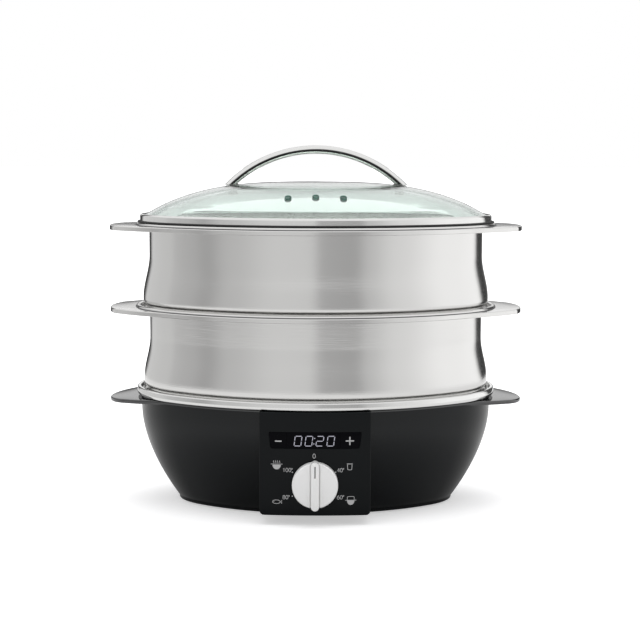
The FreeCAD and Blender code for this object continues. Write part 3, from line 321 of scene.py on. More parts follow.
def bowl_half(z, inset=0.0):
    """Half width of the base at a height: its shoulder's less the narrowing times t^1.75, where t is the
    share of the height below the shoulder."""
    b = sizes("base")
    t = np.clip((b["shoulder_z"] - z) / (b["shoulder_z"] - b["foot_z"]), 0, 1)
    return b["half"] - inset - (b["half"] - b["foot_half"]) * t ** 1.75


# ---- materials ----
# each finish: its material, its colour or the name of its colour in Finishes, what its shader is set to, and
# its grain as least and greatest roughness, fine and broad scale, bump, stretch along Z and depth of the bump
FINISH_TABLE = {
    "moulding": ("moulded_black", "moulding", {"Specular IOR Level": 0.28}, (0.2, 0.27, 1400.0, 9.0, 0.08)),
    "rim": ("rim_black", "moulding", {"Specular IOR Level": 1.0}, (0.1, 0.15, 1400.0, 9.0, 0.03)),
    "panel": ("panel_black", "moulding", {"Specular IOR Level": 0.15}, (0.36, 0.46, 1600.0, 9.0, 0.15)),
    "window": ("window_black", "window", {"Specular IOR Level": 0.02}, (0.12, 0.2, 700.0, 12.0, 0.01)),
    "brushed": ("brushed_steel", "steel", {"Metallic": 1.0}, (0.11, 0.2, 25.0, 6.0, 0.2, 70.0, 0.0002)),
    "bright": ("bright_steel", (0.76, 0.76, 0.75), {"Metallic": 0.95}, (0.05, 0.1, 40.0, 8.0, 0.02, 30.0)),
    "satin": ("satin_metal", (0.96, 0.96, 0.95), {"Metallic": 0.12, "Specular IOR Level": 0.8},
              (0.26, 0.36, 1200.0, 20.0, 0.08)),
    "glass": ("lid_glass", "glass", {"Transmission Weight": 1.0, "IOR": 1.5}, (0.0, 0.03, 60.0, 8.0, 0.0)),
    "vent": ("vent_glass", (0.10, 0.28, 0.21), {"Transmission Weight": 0.6, "IOR": 1.5},
             (0.15, 0.25, 900.0, 40.0, 0.02)),
    "print": ("printed_white", "print", {}, (0.5, 0.6, 1800.0, 60.0, 0.02)),
    "digits": ("lit_digits", "digits", {"Emission Strength": 0.25}, (0.4, 0.5, 1800.0, 60.0, 0.0)),
    "rubber": ("black_rubber", (0.012, 0.012, 0.012), {}, (0.68, 0.8, 1500.0, 20.0, 0.3)),
    "silicone": ("clear_silicone", (0.62, 0.62, 0.60), {"Transmission Weight": 0.2},
                 (0.45, 0.55, 900.0, 20.0, 0.1)),
    "aluminium": ("cast_aluminium", (0.55, 0.55, 0.56), {"Metallic": 1.0}, (0.42, 0.58, 700.0, 30.0, 0.3)),
    "zinc": ("zinc_steel", (0.60, 0.60, 0.58), {"Metallic": 1.0}, (0.26, 0.4, 1100.0, 60.0, 0.1)),
    "board": ("circuit_board", (0.02, 0.13, 0.055), {}, (0.3, 0.42, 900.0, 20.0, 0.05)),
    "grey": ("grey_plastic", (0.11, 0.11, 0.115), {}, (0.4, 0.5, 1300.0, 25.0, 0.15)),
    "tray": ("tray_plastic", (0.72, 0.73, 0.72), {}, (0.36, 0.46, 1200.0, 12.0, 0.1)),
}
# painted shade: the darker green the lid glass takes where it is seen edge-on, standing for the dark line at
# its silhouettes
PAINTED_GLASS_EDGE_SHADE = (0.30, 0.44, 0.38, 1.0)
WHITE = (1.0, 1.0, 1.0, 1.0)
made_finishes = {}


def principled(name, base, values):
    """A material with a Principled shader whose sockets have the given values."""
    material = bpy.data.materials.new(name)
    material.use_nodes = True
    shader = material.node_tree.nodes["Principled BSDF"]
    shader.inputs["Base Color"].default_value = (*base, 1.0)
    for socket, value in values.items():
        shader.inputs[socket].default_value = value
    return material, material.node_tree, shader


def group_of(name, inputs, outputs):
    """An empty node group with inputs, given with their defaults, and outputs, which are floats."""
    tree = bpy.data.node_groups.new(name, "ShaderNodeTree")
    for label, default in inputs.items():
        kind = "NodeSocketVector" if isinstance(default, tuple) else "NodeSocketFloat"
        tree.interface.new_socket(label, in_out="INPUT", socket_type=kind).default_value = default
    for label in outputs:
        tree.interface.new_socket(label, in_out="OUTPUT", socket_type="NodeSocketFloat")
    return tree, tree.nodes.new("NodeGroupInput"), tree.nodes.new("NodeGroupOutput")


def node(tree, kind, links=(), **settings):
    """Adds a node, sets its properties or, for names that are sockets, their values, and links its inputs."""
    made = tree.nodes.new("ShaderNode" + kind)
    for key, value in settings.items():
        if hasattr(made, key):
            setattr(made, key, value)
        else:
            made.inputs[key.replace("_", " ")].default_value = value
    for socket, source in dict(links).items():
        tree.links.new(source, made.inputs[socket])
    return made


def math_node(tree, operation, first, second):
    """The output of a Math node; each of its inputs is a number or an output to link."""
    made = node(tree, "Math", operation=operation)
    for socket, source in zip(made.inputs, (first, second)):
        if isinstance(source, float):
            socket.default_value = source
        else:
            tree.links.new(source, socket)
    return made.outputs[0]


def ranged(tree, value, low, high, **settings):
    """The output of a Map Range node that takes a value from the limits low and high to 0 and 1."""
    return node(tree, "MapRange", {"Value": value}, From_Min=low, From_Max=high, **settings).outputs[0]


def grain_group():
    """Fine grain and broad unevenness in object space: noise at two scales, added into one value, and the
    fine one as a height."""
    if "Surface Grain" in bpy.data.node_groups:
        return bpy.data.node_groups["Surface Grain"]
    inputs = {"Stretch": (1.0, 1.0, 1.0), "Fine Scale": 900.0, "Broad Scale": 14.0, "Low": 0.4, "High": 0.5}
    tree, given, out = group_of("Surface Grain", inputs, ("Value", "Height"))
    wanted = given.outputs
    place = node(tree, "TexCoord").outputs["Object"]
    stretched = node(tree, "VectorMath", {0: place, 1: wanted["Stretch"]}, operation="MULTIPLY").outputs[0]
    fine = node(tree, "TexNoise", {"Vector": stretched, "Scale": wanted["Fine Scale"]}, Detail=3.0)
    broad = node(tree, "TexNoise", {"Vector": place, "Scale": wanted["Broad Scale"]}, Detail=2.0)
    mixed = math_node(tree, "ADD", fine.outputs["Fac"], broad.outputs["Fac"])
    rough = node(tree, "MapRange", {"Value": mixed, "To Min": wanted["Low"], "To Max": wanted["High"]},
                 From_Min=0.6, From_Max=1.4)
    tree.links.new(rough.outputs[0], out.inputs["Value"])
    tree.links.new(fine.outputs["Fac"], out.inputs["Height"])
    return tree


def add_grain(tree, shader, low, high, fine, broad, bump, stretch=1.0, depth=0.0001):
    """Feeds the grain group into a shader's roughness and, through a bump, into its normal."""
    grain = tree.nodes.new("ShaderNodeGroup")
    grain.node_tree = grain_group()
    for label, value in (("Stretch", (1.0, 1.0, stretch)), ("Fine Scale", fine), ("Broad Scale", broad),
                         ("Low", low), ("High", high)):
        grain.inputs[label].default_value = value
    tree.links.new(grain.outputs["Value"], shader.inputs["Roughness"])
    raised = node(tree, "Bump", {"Height": grain.outputs["Height"]}, Strength=bump, Distance=depth)
    tree.links.new(raised.outputs["Normal"], shader.inputs["Normal"])


def finish_material(finish):
    """The material of a finish, made once."""
    if finish in made_finishes:
        return made_finishes[finish]
    name, base, values, grain = FINISH_TABLE[finish]
    if isinstance(base, str):
        base = getattr(bpy.context.scene.steamer_finishes, base)
    material, tree, shader = principled(name, base, values)
    add_grain(tree, shader, *grain)
    if "Emission Strength" in values:
        shader.inputs["Emission Color"].default_value = (*base, 1.0)
    if finish == "glass":
        # painted shade: the glass turns darker green where it is seen edge-on, which stands for the dark line
        # at its silhouettes
        edge_shade_mask = ranged(tree, node(tree, "LayerWeight").outputs["Facing"], 0.86, 0.98)
        painted_edge_shade = node(tree, "Mix", {0: edge_shade_mask}, data_type="RGBA")
        painted_edge_shade.inputs["A"].default_value, painted_edge_shade.inputs["B"].default_value = (*base, 1.0), PAINTED_GLASS_EDGE_SHADE
        tree.links.new(painted_edge_shade.outputs["Result"], shader.inputs["Base Color"])
    if finish == "board":
        tracks = node(tree, "TexBrick", {"Vector": node(tree, "TexCoord").outputs["Object"]}, Scale=160.0,
                      Color1=(*base, 1.0), Color2=(0.025, 0.17, 0.075, 1.0), Mortar=(0.22, 0.20, 0.08, 1.0))
        tree.links.new(tracks.outputs["Color"], shader.inputs["Base Color"])
    made_finishes[finish] = material
    return material


def dress(finish, *nodes):
    """Gives frame nodes a finish in all of their material slots."""
    for name in nodes:
        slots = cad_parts[name].material_slots
        if not slots:
            raise RuntimeError(f"node {name} has no material slot")
        for place in slots:
            place.material = finish_material(finish)


# ---- operators ----
class STEAMER_OT_base(bpy.types.Operator):
    """Bowl-shaped base moulding with the seat of its cord gland"""
    bl_idname = "steamer.base"
    bl_label = "Base moulding"

    def execute(self, context):
        b = sizes("base")
        wall, foot, foot_z = b["wall"], b["foot_half"], b["foot_z"]
        lip = foot - 21.0                                  # the edge that is turned in under the bowl
        outer_z = np.linspace(foot_z + 1.2, b["shoulder_z"], 26)
        inner_z = np.linspace(b["shoulder_z"], foot_z + wall + 1, 12)
        profile = np.vstack([
            [(lip, foot_z), (foot - 0.9, foot_z), (foot - 0.2, foot_z + 0.35)],
            np.column_stack([bowl_half(outer_z), outer_z]),
            [(b["half"], b["rim_z"]), (b["half"] - wall, b["rim_z"])],
            np.column_stack([bowl_half(inner_z, wall), inner_z]),
            [(lip, foot_z + wall)]])
        gland_z, bore, back = 32.0, 6.0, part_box("cord_gland")[1].y / MM - MIDDLE_Y - 15.0
        seat = [(bore, back - 14), (10.2, back - 14), (10.8, back - 0.6), (10.2, back), (bore, back)]
        make_piece("base_moulding", [main_oval().carry(profile), turned(seat, gland_z)], "moulding", "base",
                   ["base_housing"])
        dress("moulding", "bottom_cover")
        return {"FINISHED"}


class STEAMER_OT_rim(bpy.types.Operator):
    """Black rim of the base with a carrying ear at each end that droops a little towards its tip"""
    bl_idname = "steamer.rim"
    bl_label = "Base rim"

    def execute(self, context):
        b, s = sizes("base"), sizes("stack")
        bottom, top, edge = b["rim_z"], b["rim_z"] + b["rim_thick"], 1.15
        half, inner = b["half"] + b["rim_proud"], b["half"] - 6.5
        plan = EaredPlan(main_oval(), half, s["difference"], b["ear_reach"], root=(0.74, 0.62),
                         end_share=0.303, tip_radius=48.0, corner_radius=14.0)
        stand = np.hypot(*plan.outline.T) - plan.oval_at(half)
        ear = smooth_step(np.clip(stand / 3.0, 0, 1))
        low = bottom - ear * (b["ear_thick"] - b["rim_thick"])
        slope, start = math.tan(math.radians(5.3)), half - 17.5

        def droop(row):
            """Lowers a row by the slope times how far it lies beyond the line that the ears droop from."""
            return row - np.clip(np.abs(row[:, :1]) - start, 0, None) * (0, 0, slope)

        def step(z, ear_half):
            """A row at the foot or the top of the step from an ear up to the rim; it fades with the ear."""
            share = ear[:, None]
            return share * plan.oval_row(ear_half, z) + (1 - share) * plan.oval_row(half - edge, z)

        rows = [plan.oval_row(inner, bottom), plan.oval_row(b["half"] - 1.2, bottom),
                droop(plan.oval_row(b["half"] - 1.0, low))]
        rows += [droop(plan.row(inset, low + rise, b["half"])) for inset, rise in quarter(edge)]
        rows += [droop(plan.row(inset, top - fall, half - edge)) for fall, inset in quarter(edge)]
        rows += [droop(step(top, half + 0.02)), step(top - 0.3, half), step(top, half - 0.3),
                 plan.oval_row(inner, top)]
        make_piece("base_rim_ears", [sheet_of(np.stack(rows), closed=True)], "rim", "base", ["base_rim"])
        return {"FINISHED"}


class STEAMER_OT_tank(bpy.types.Operator):
    """Steel water tank, the polished ring on its flange, and the finishes of what the base holds"""
    bl_idname = "steamer.tank"
    bl_label = "Water tank"

    def execute(self, context):
        s, oval = sizes("stack"), main_oval()
        stack, t, seat_z = s["stack_half"], s["sheet"], s["seat_z"]
        bead = stack + s["bead"]
        flange, seat = bead - 1.2, stack - s["belly_gap"] - 5.2 - t
        tray, floor, middle = seat - 5.1, seat - 17.1, seat - 47.1
        skirt_z, tray_z, knee_z, floor_z = seat_z - 2, seat_z - 7, seat_z - 48, seat_z - 56
        corners = [(flange, skirt_z), (flange, seat_z), (seat, seat_z), (seat, tray_z), (tray, tray_z),
                   (floor + 5, knee_z), (floor, floor_z), (middle, floor_z), (middle, floor_z - t),
                   (floor + 0.6, floor_z - t), (floor + 5 + t, knee_z - 0.4), (tray + t, tray_z - t),
                   (seat + t, tray_z - t), (seat + t, skirt_z)]
        wall = oval.carry(rounded(corners, [0, 0, 0.8, 0.8, 1.5, 6, 8, 0, 0, 8, 6, 1.5, 0.8, 0.8]))
        plan = oval.ring(middle - 0.02) * np.linspace(1, 0.02, 12)[:, None, None]
        plate = sheet_of(np.concatenate([at_height(plan[::-1], floor_z), at_height(plan, floor_z - t)]))
        make_piece("tank", [wall, plate], "bright", "base", ["water_tank"])
        bead_z = seat_z + 5.2
        ring = rounded([(flange, skirt_z), (bead - 0.4, skirt_z), (bead, seat_z + 0.5), (bead - 0.6, bead_z),
                        (stack, bead_z), (stack, seat_z), (flange, seat_z)], [0, 0.9, 4.0, 1.6, 1.0, 0, 0])
        make_piece("tank_ring", [oval.carry(ring)], "bright", "base", ["tank_rim"])
        dress("rubber", "tank_seal", "rubber_feet", "cord_gland")
        dress("silicone", "probe_seal")
        dress("aluminium", "heating_plate")
        dress("zinc", "heating_element", "thermostat", "temperature_probe", "cover_screws", "board_screws",
              "knob_shaft", "bush_nut", "handle_screws")
        dress("board", "power_board", "display_board")
        dress("grey", "relay", "terminal_block", "display_module", "key_switches", "selector_switch")
        dress("tray", "juice_tray", "steam_chimney")
        return {"FINISHED"}


class STEAMER_OT_baskets(bpy.types.Operator):
    """Two pressed steel baskets with flanges, tabs, grey rings round the flanges that paint the shade in the
    crease where each upstand meets its flange, and perforated floors
    """
    bl_idname = "steamer.baskets"
    bl_label = "Baskets"

    def execute(self, context):
        s, oval, edge = sizes("stack"), main_oval(), 1.2
        stack, t = s["stack_half"], s["sheet"]
        bead, belly, neck = stack + s["bead"], stack - s["belly_gap"], stack - 8.8
        plan = EaredPlan(oval, bead + edge, s["difference"], 23.6, root=(0.75, 0.623), end_share=0.3,
                         tip_radius=90.0, corner_radius=13.0)
        share = np.linspace(0, 1, 24)
        for place, low in (("lower", s["seat_z"]), ("upper", s["seat_z"] + s["pitch"])):
            name, ledge, belly_z, floor = place + "_basket", low + s["pitch"], low + 12, belly - 11.5
            top, flange = ledge + 5.4, ledge + 3.0
            curve = np.column_stack([belly + (neck - belly) * smooth_step(share), belly_z + 40 * share])
            foot = rounded([(floor, low), (belly, low), (belly, belly_z)], [0, 10.5, 0], 12)
            within = rounded([(belly - t, belly_z), (belly - t, low + t), (floor, low + t)], [0, 9.3, 0], 12)
            lip = rounded([(neck, ledge - 1.6), (neck, ledge - t), (bead, ledge - t), (bead, top),
                           (stack, top), (stack, ledge), (neck - t, ledge), (neck - t, ledge - 2)],
                          [0, 0.3, 1.0, 2.0, 1.5, 0.5, 0.5, 0])
            wall = oval.carry(np.vstack([foot[:-1], curve, lip, curve[::-1] - (t, 0), within[1:]]))
            under = ((0, 4.2), (0.3, 4.5), (0.9, 4.5), (1.15, 4.2), (1.15, t))
            rows = [plan.row(inset, flange - drop) for inset, drop in (*quarter(edge), *under)]
            rows = [plan.oval_row(bead - 1, flange), *rows, plan.oval_row(bead - 1, flange - t)]
            shelf = sheet_of(np.stack(rows), closed=True)
            make_piece(name, [wall, shelf], "brushed", name, [name + "_wall"])
            # painted shade: a grey ring at the foot of each upstand stands for the shade in the crease where
            # the upstand meets the flange
            crease_shade = block(bead - 0.5, bead + 0.7, flange - 0.1, flange + 0.6, 0.2)
            make_piece(place + "_flange_crease_shade", [oval.carry(crease_shade)], "grey", name)
        dress("brushed", "lower_basket_floor", "upper_basket_floor")
        return {"FINISHED"}


class STEAMER_OT_lid(bpy.types.Operator):
    """Domed glass lid with three steam vents, in a steel band over a black ring that paints the shadow gap
    under the band
    """
    bl_idname = "steamer.lid"
    bl_label = "Lid"

    def execute(self, context):
        s, d, oval = sizes("stack"), sizes("lid"), main_oval()
        z, top, half = d["z"], d["z"] + d["band_height"], d["glass_half"]
        skirt, step, hem = s["stack_half"] - 0.8, s["stack_half"] - 0.2, half - 0.8
        corners = [(skirt - 1, z - 4.4), (skirt, z - 4.4), (skirt, z + 1.2), (step, z + 1.2), (step, top),
                   (hem, top), (hem, top - 1), (skirt - 1, top - 1)]
        band = oval.carry(rounded(corners, [0.3, 0.3, 0.4, 0.2, 2.4, 0.4, 0.4, 0.8]))
        make_piece("lid_band", [band], "bright", "lid", ["lid_rim"])
        # painted shade: a black ring under the band stands for the shadow gap between the band and the flange
        # it rests on
        shadow_gap_ring = oval.carry(block(skirt + 0.05, skirt + 3.1, z, z + 1.4, 0.4))
        make_piece("lid_shadow_gap_ring", [shadow_gap_ring], "rubber", "lid")

        difference = s["difference"] + 1.2               # the glass is a little slimmer than the other ovals
        edge_z, depth = top - 2, half - difference
        shoulder, shoulder_rise, power = 0.1112, d["shoulder_rise"], 3.1
        dome_rise = d["glass_rise"] - shoulder_rise

        def rise(share):
            """Height of the glass above its edge, by the share of the way in from its edge: an even slope up
            to the shoulder, then shoulder rise + dome rise (1 - r^3.1), where r is the share of the dome that
            is left."""
            left = np.minimum((1 - share) / (1 - shoulder), 1)
            return np.where(share < shoulder, share / shoulder * shoulder_rise,
                            shoulder_rise + dome_rise * (1 - left ** power))

        share = np.concatenate([np.linspace(0, 0.1, 7), np.linspace(0.115, 0.99, 48)])
        outer = np.column_stack([half * (1 - share), edge_z + rise(share)])
        slope = np.gradient(outer, axis=0)
        slope /= np.linalg.norm(slope, axis=1, keepdims=True)
        inner = outer - np.column_stack([slope[:, 1], -slope[:, 0]]) * d["glass_thick"]
        inner[:, 0] = np.maximum(inner[:, 0], 0.4)
        inner = inner[inner[:, 1] >= edge_z - 2.9]
        rim = [(inner[0][0] + 0.3, edge_z - 3.0), (half - 0.6, edge_z - 3.0), (half, edge_z - 2.4)]
        levels = np.vstack([inner[::-1], rim, outer])
        edge_oval = Oval(s["end_centre"], difference, s["steps"]).ring(half)
        shell = at_height(edge_oval * (levels[:, 0, None, None] / half), levels[:, 1, None])
        make_piece("glass_dome", [sheet_of(shell)], "glass", "lid", ["lid_glass"])

        radius, y, gap, t = d["vent_radius"], -83.0, 25.0, np.arange(40) / 40 * TURN
        bore = radius - 0.9
        liner = np.array([(bore, -4.2), (radius, -4.2), (radius, 0.3), (radius - 0.2, 0.5), (bore, 0.4)])
        across, up = liner[:, :1], liner[:, 1:]
        liners = []
        for x in (-gap, 0.0, gap):
            out = np.hypot(x / half, y / depth)
            fall = dome_rise * power * (out / (1 - shoulder)) ** (power - 1) / (1 - shoulder) / depth
            height = edge_z + rise(1 - out) + up + across * np.sin(t) * fall
            liners.append(sheet_of(np.stack([x + across * np.cos(t), y + across * np.sin(t), height], -1),
                                   closed=True))
        make_piece("steam_vents", liners, "vent", "lid")
        return {"FINISHED"}


class STEAMER_OT_handle(bpy.types.Operator):
    """Arched handle of the lid: a bright upper half, a greyer lower half that paints the shade on its
    underside, and black strips along both sides that paint the dark line it reflects there
    """
    bl_idname = "steamer.handle"
    bl_label = "Lid handle"

    def execute(self, context):
        d = sizes("lid")
        radius, height, depth = d["handle_radius"], d["handle_height"], d["handle_depth"]
        middle = d["handle_top"] - height / 2 - radius
        lean = 0.0786                                      # slope of the glass under the roots, in radians
        cut = math.sin(lean) * d["root_x"] + math.cos(lean) * d["root_z"] + 1.0

        def swept(across, up):
            """Sweeps a section along the arch.  Each of its lines stops where it meets the plane over the
            root: at the lean plus the arc cosine of (plane - middle cos lean) / radius."""
            rho = radius + up
            end = lean + np.arccos((cut - middle * math.cos(lean)) / rho)
            angle = np.linspace(-1, 1, 97)[:, None] * end
            return sheet_of(np.stack([rho * np.sin(angle), np.broadcast_to(across, angle.shape),
                                      middle + rho * np.cos(angle)], -1))

        w = np.linspace(0, math.pi, 29)
        across = np.sign(np.cos(w)) * np.abs(np.cos(w)) ** 0.8 * depth / 2
        up = np.sin(w) ** 0.95 * height / 2
        make_piece("handle_arch", [swept(across, up)], "bright", "lid", ["lid_handle"])
        # painted shade: the lower half of the bar gets the greyer zinc finish, which stands for the shade on
        # its underside
        make_piece("handle_shaded_underside", [swept(across, -up)], "zinc", "lid")
        # painted reflection: black strips along both sides of the bar stand for the dark line that it
        # reflects there
        dark_line = block(-0.7, 0.1, -1.9, 0.3, 0.2, 4)
        dark_lines = [swept(side * (depth / 2 + dark_line[:, 0]), dark_line[:, 1]) for side in (-1, 1)]
        make_piece("handle_painted_dark_lines", dark_lines, "rubber", "lid")
        dress("silicone", "handle_washers")
        return {"FINISHED"}


def panel_front(x):
    """Depth of the bowed panel front at x: an arc through its middle and its two sides."""
    b = sizes("base")
    radius = (b["panel_half"] ** 2 + b["panel_bow"] ** 2) / (2 * b["panel_bow"])
    return radius - b["panel_front"] - np.sqrt(radius ** 2 - x ** 2)


def edged(corners, radii, sides=22, steps=5):
    """A rounded (x, z) outline with a given number of points along each side, so that like outlines match."""
    arcs = rounded(corners, radii, steps).reshape(len(corners), steps, 2)
    t = np.linspace(0, 1, sides + 2)[1:-1, None]
    start, end = arcs[:, -1:], np.roll(arcs, -1, 0)[:, :1]
    return np.concatenate([arcs, start + (end - start) * t], 1).reshape(-1, 2)


def on_panel(outline, depth):
    """Puts an (x, z) outline at a depth behind the bowed front."""
    return np.column_stack([outline[:, 0], panel_front(outline[:, 0]) + depth, outline[:, 1]])


def window_slab(left, right, outer=(0, 0)):
    """A bowed slab of the window strip between two x limits.  An end marked as outer leans in towards its
    bottom, and near it the half height shrinks by r - sqrt(r^2 - (r - d)^2), which rounds the corners."""
    b, thick, edge, corner = sizes("base"), 2.2, 0.3, 1.6
    half, middle = (b["window_high"] - b["window_low"]) / 2, (b["window_high"] + b["window_low"]) / 2
    share = np.concatenate([np.linspace(0, 0.06, 9), np.linspace(0.08, 0.92, 24), np.linspace(0.94, 1, 9)])
    z_share, y = block(-half, half, 0, thick, edge, 5).T / [[half], [1]]
    lean = b["window_slant"] * (1 - z_share) / 2
    x_low, x_high = left + outer[0] * lean, right - outer[1] * lean
    x = x_low + (x_high - x_low) * share[:, None]
    shrink = np.zeros(len(share))
    for marked, far in zip(outer, (share * (right - left), (1 - share) * (right - left))):
        d = marked * np.clip(corner - far, 0, corner)
        shrink = np.maximum(shrink, corner - np.sqrt(corner ** 2 - d ** 2))
    z = middle + z_share * (half - shrink[:, None])
    return sheet_of(np.stack([x, panel_front(x) + y, z], -1))


def stroke(path, width, closed=False, proud=0.06, sunk=0.05):
    """A printed line along an (x, z) path: a flat bar whose sides stand half the width off the path."""
    path = np.asarray(path, float)
    if closed:
        tangent = np.roll(path, -1, 0) - np.roll(path, 1, 0)
    else:
        tangent = np.gradient(path, axis=0)
    tangent /= np.linalg.norm(tangent, axis=1, keepdims=True)
    across = np.column_stack([-tangent[:, 1], tangent[:, 0]]) * width / 2
    x, z = np.moveaxis(np.stack([path - across, path + across, path + across, path - across], 1), -1, 0)
    return sheet_of(np.stack([x, panel_front(x) + (-proud, -proud, sunk, sunk), z], -1), closed)


def blot(outline, proud=0.06, sunk=0.05):
    """A printed filled shape inside an (x, z) outline."""
    outline = np.asarray(outline, float)
    return sheet_of(np.stack([on_panel(outline, -proud), on_panel(outline, sunk)]))


def arc(x, z, radius_x, radius_z, start=0, end=345, steps=24):
    """Points of an ellipse's arc between two angles in degrees, or of a whole ellipse."""
    t = np.radians(np.linspace(start, end, steps))
    return np.column_stack([x + radius_x * np.cos(t), z + radius_z * np.sin(t)])


def dot(x, z, radius, proud=0.06, steps=16):
    """A printed round dot."""
    return blot(arc(x, z, radius, radius, steps=steps), proud)


# lines of the printed figures, as paths and whether they close, in shares of half a figure's width and height
FIGURES = {
    "0": [(arc(1, 1, 1, 1), True)],
    "1": [([(0.4, 1.55), (1.1, 2), (1.1, 1), (1.1, 0)], False)],
    "4": [([(2.1, 0.55), (0, 0.55), (1.45, 2)], False), ([(1.45, 2), (1.45, 1), (1.45, 0)], False)],
    "6": [(arc(1, 0.62, 1, 0.62), True), (arc(2, 0.7, 2, 1.3, 180, 100), False)],
    "8": [(arc(1, 0.55, 1, 0.55), True), (arc(1, 1.53, 0.85, 0.45), True)],
}


def digit(figure, x, z, height):
    """Strokes of a plain printed figure, with its lower left corner at (x, z)."""
    return [stroke(np.multiply(path, (height * 0.3, height / 2)) + (x, z), height * 0.13, closed)
            for path, closed in FIGURES[figure]]


def temperature(figures, x, z, height=3.4):
    """A row of figures followed by a degree ring."""
    step = height * 0.78
    marks = [line for i, figure in enumerate(figures) for line in digit(figure, x + i * step, z, height)]
    return marks + [stroke(arc(x + len(figures) * step + 0.3, z + height - 0.5, 0.5, 0.5), 0.35, True)]


def seven_segments(lit, x, z, width, height, thick=0.68, gap=0.5, slant=0.13):
    """Bars of a lit figure: a top, b and c right, d bottom, e and f left, g middle."""
    w, h = width, height / 2
    ends = {"a": ((gap, 2 * h), (w - gap, 2 * h)), "b": ((w, 2 * h - gap), (w, h + gap)),
            "c": ((w, h - gap), (w, gap)), "d": ((gap, 0), (w - gap, 0)), "e": ((0, gap), (0, h - gap)),
            "f": ((0, h + gap), (0, 2 * h - gap)), "g": ((gap, h), (w - gap, h))}
    bars = []
    for name in lit:
        path = np.linspace(*np.array(ends[name], float), 3)
        path[:, 0] += path[:, 1] * slant
        bars.append(stroke(path + (x, z), thick, proud=0.03))
    return bars


def dial_disc(radius, z, back, front, edge, slot_half, slot_gap, slot_depth):
    """A disc facing -Y.  Its front is rounded down at the rim by e - sqrt(e^2 - (e - d)^2), where d is the
    distance from the rim, and grooved on both sides of the grip bar."""
    fine = 0.06
    slot_end = slot_half + slot_gap
    groove = [slot_half - fine, slot_half, slot_end, slot_end + fine]
    x = -radius * np.cos(np.linspace(0.02, math.pi - 0.02, 61))
    x = np.sort(np.concatenate([x, groove, np.negative(groove)]))
    z_front = np.sqrt(radius ** 2 - x[:, None] ** 2) * np.sin(np.linspace(-math.pi / 2, math.pi / 2, 61))
    from_rim = np.clip(radius - np.hypot(x[:, None], z_front), 0, edge)
    y_front = front + edge - np.sqrt(edge ** 2 - (edge - from_rim) ** 2)
    y_front += slot_depth * ((np.abs(x) > slot_half - fine / 2) & (np.abs(x) < slot_end + fine / 2))[:, None]
    x_grid = np.broadcast_to(x[:, None], z_front.shape)
    faces = [np.stack([x_grid, y, height], -1) for y, height in
             ((y_front, z + z_front), (np.full(z_front.shape, back), z + z_front[:, ::-1]))]
    return sheet_of(np.concatenate(faces, 1))


def grip_bar(width, length, z, back, front, edge=1.1):
    """A bar with half-round ends, closed over its rounded top by rings that shrink to its middle line."""
    def ring(inset, y):
        """The bar's outline moved in by an inset: two half circles, joined by straight sides."""
        half, reach = width / 2 - inset, length / 2 - width / 2
        t = np.linspace(0, math.pi, 25)
        top = np.column_stack([half * np.cos(t), reach + half * np.sin(t)])
        outline = np.vstack([top, -top])
        return np.column_stack([outline[:, 0], np.full(len(outline), y), z + outline[:, 1]])

    rows = [ring(0, back)] + [ring(inset, front + drop) for drop, inset in quarter(edge, 7)]
    rows += [ring(inset, front + 0.25 * ((inset - edge) / width) ** 2)
             for inset in np.linspace(edge, width / 2 - 0.05, 6)[1:]]
    return sheet_of(np.stack(rows))


class STEAMER_OT_panel(bpy.types.Operator):
    """Bowed control panel with its window strip and two keys"""
    bl_idname = "steamer.panel"
    bl_label = "Control panel"

    def execute(self, context):
        b, difference, side = sizes("base"), sizes("stack")["difference"], main_oval().side
        half, low, high, wall, edge = b["panel_half"], 9.2, b["rim_z"] + 2.0, b["wall"], 0.9

        def outline(inset):
            """The panel's outline moved in by an inset."""
            corner, x = max(4.0 - inset, 0.8), half - inset
            return edged([(-x, low + inset), (x, low + inset), (x, high - inset), (-x, high - inset)],
                         [corner, corner, 0.8, 0.8])

        def hole(grow):
            """The outline of the window strip, grown."""
            top = b["window_half"] + grow
            bottom, low, high = top - b["window_slant"], b["window_low"] - grow, b["window_high"] + grow
            return edged([(-bottom, low), (bottom, low), (top, high), (-top, high)], [2.0, 2.0, 1.0, 1.0])

        def against_bowl(plan):
            """Sets an outline on the moulding behind it, 0.4 mm deep: the moulding's half width at that
            height, carried to its side arc."""
            x, z = plan.T
            level = np.where(z > b["rim_z"], b["half"] + b["rim_proud"], bowl_half(z)) - 0.4
            return np.column_stack([x, side - np.sqrt((level - difference + side) ** 2 - x ** 2), z])

        outer, opening, bore, inner = outline(edge), hole(0.35), hole(0.15), outline(wall)
        share = np.linspace(0, 1, 9)[1:-1]
        rows = [against_bowl(outline(0))]
        rows += [on_panel(outline(inset), depth) for depth, inset in quarter(edge, 5)]
        rows += [on_panel(outer + (opening - outer) * t, 0) for t in share]
        rows += [on_panel(opening, 0), on_panel(bore, 0.2), on_panel(bore, wall)]
        rows += [on_panel(inner + (bore - inner) * t, wall) for t in share[::-1]]
        rows += [on_panel(inner, wall), against_bowl(inner)]
        make_piece("panel_frame", [sheet_of(np.stack(rows), closed=True)], "panel", "base", ["control_panel"],
                   sharp=35)
        left, right, end, gap = -25.4, 22.4, b["window_half"], 0.15
        strip, minus, plus = (window_slab(left, right), window_slab(-end, left - gap, (1, 0)),
                              window_slab(right + gap, end, (0, 1)))
        make_piece("window_strip", [strip], "window", "base", ["display_window"])
        make_piece("minus_cap", [minus], "window", "minus_button", ["minus_key"])
        make_piece("plus_cap", [plus], "window", "plus_button", ["plus_key"])
        return {"FINISHED"}


def brimmed_bowl(radius_x, radius_z, drop, brim):
    """Outline of a half-round bowl, hung a drop below the middle, whose top edge lies at the brim."""
    half_round = arc(0, -drop, radius_x, radius_z, 180, 360, 20)
    return np.vstack([half_round, [(radius_x, -brim), (-radius_x, -brim)]])


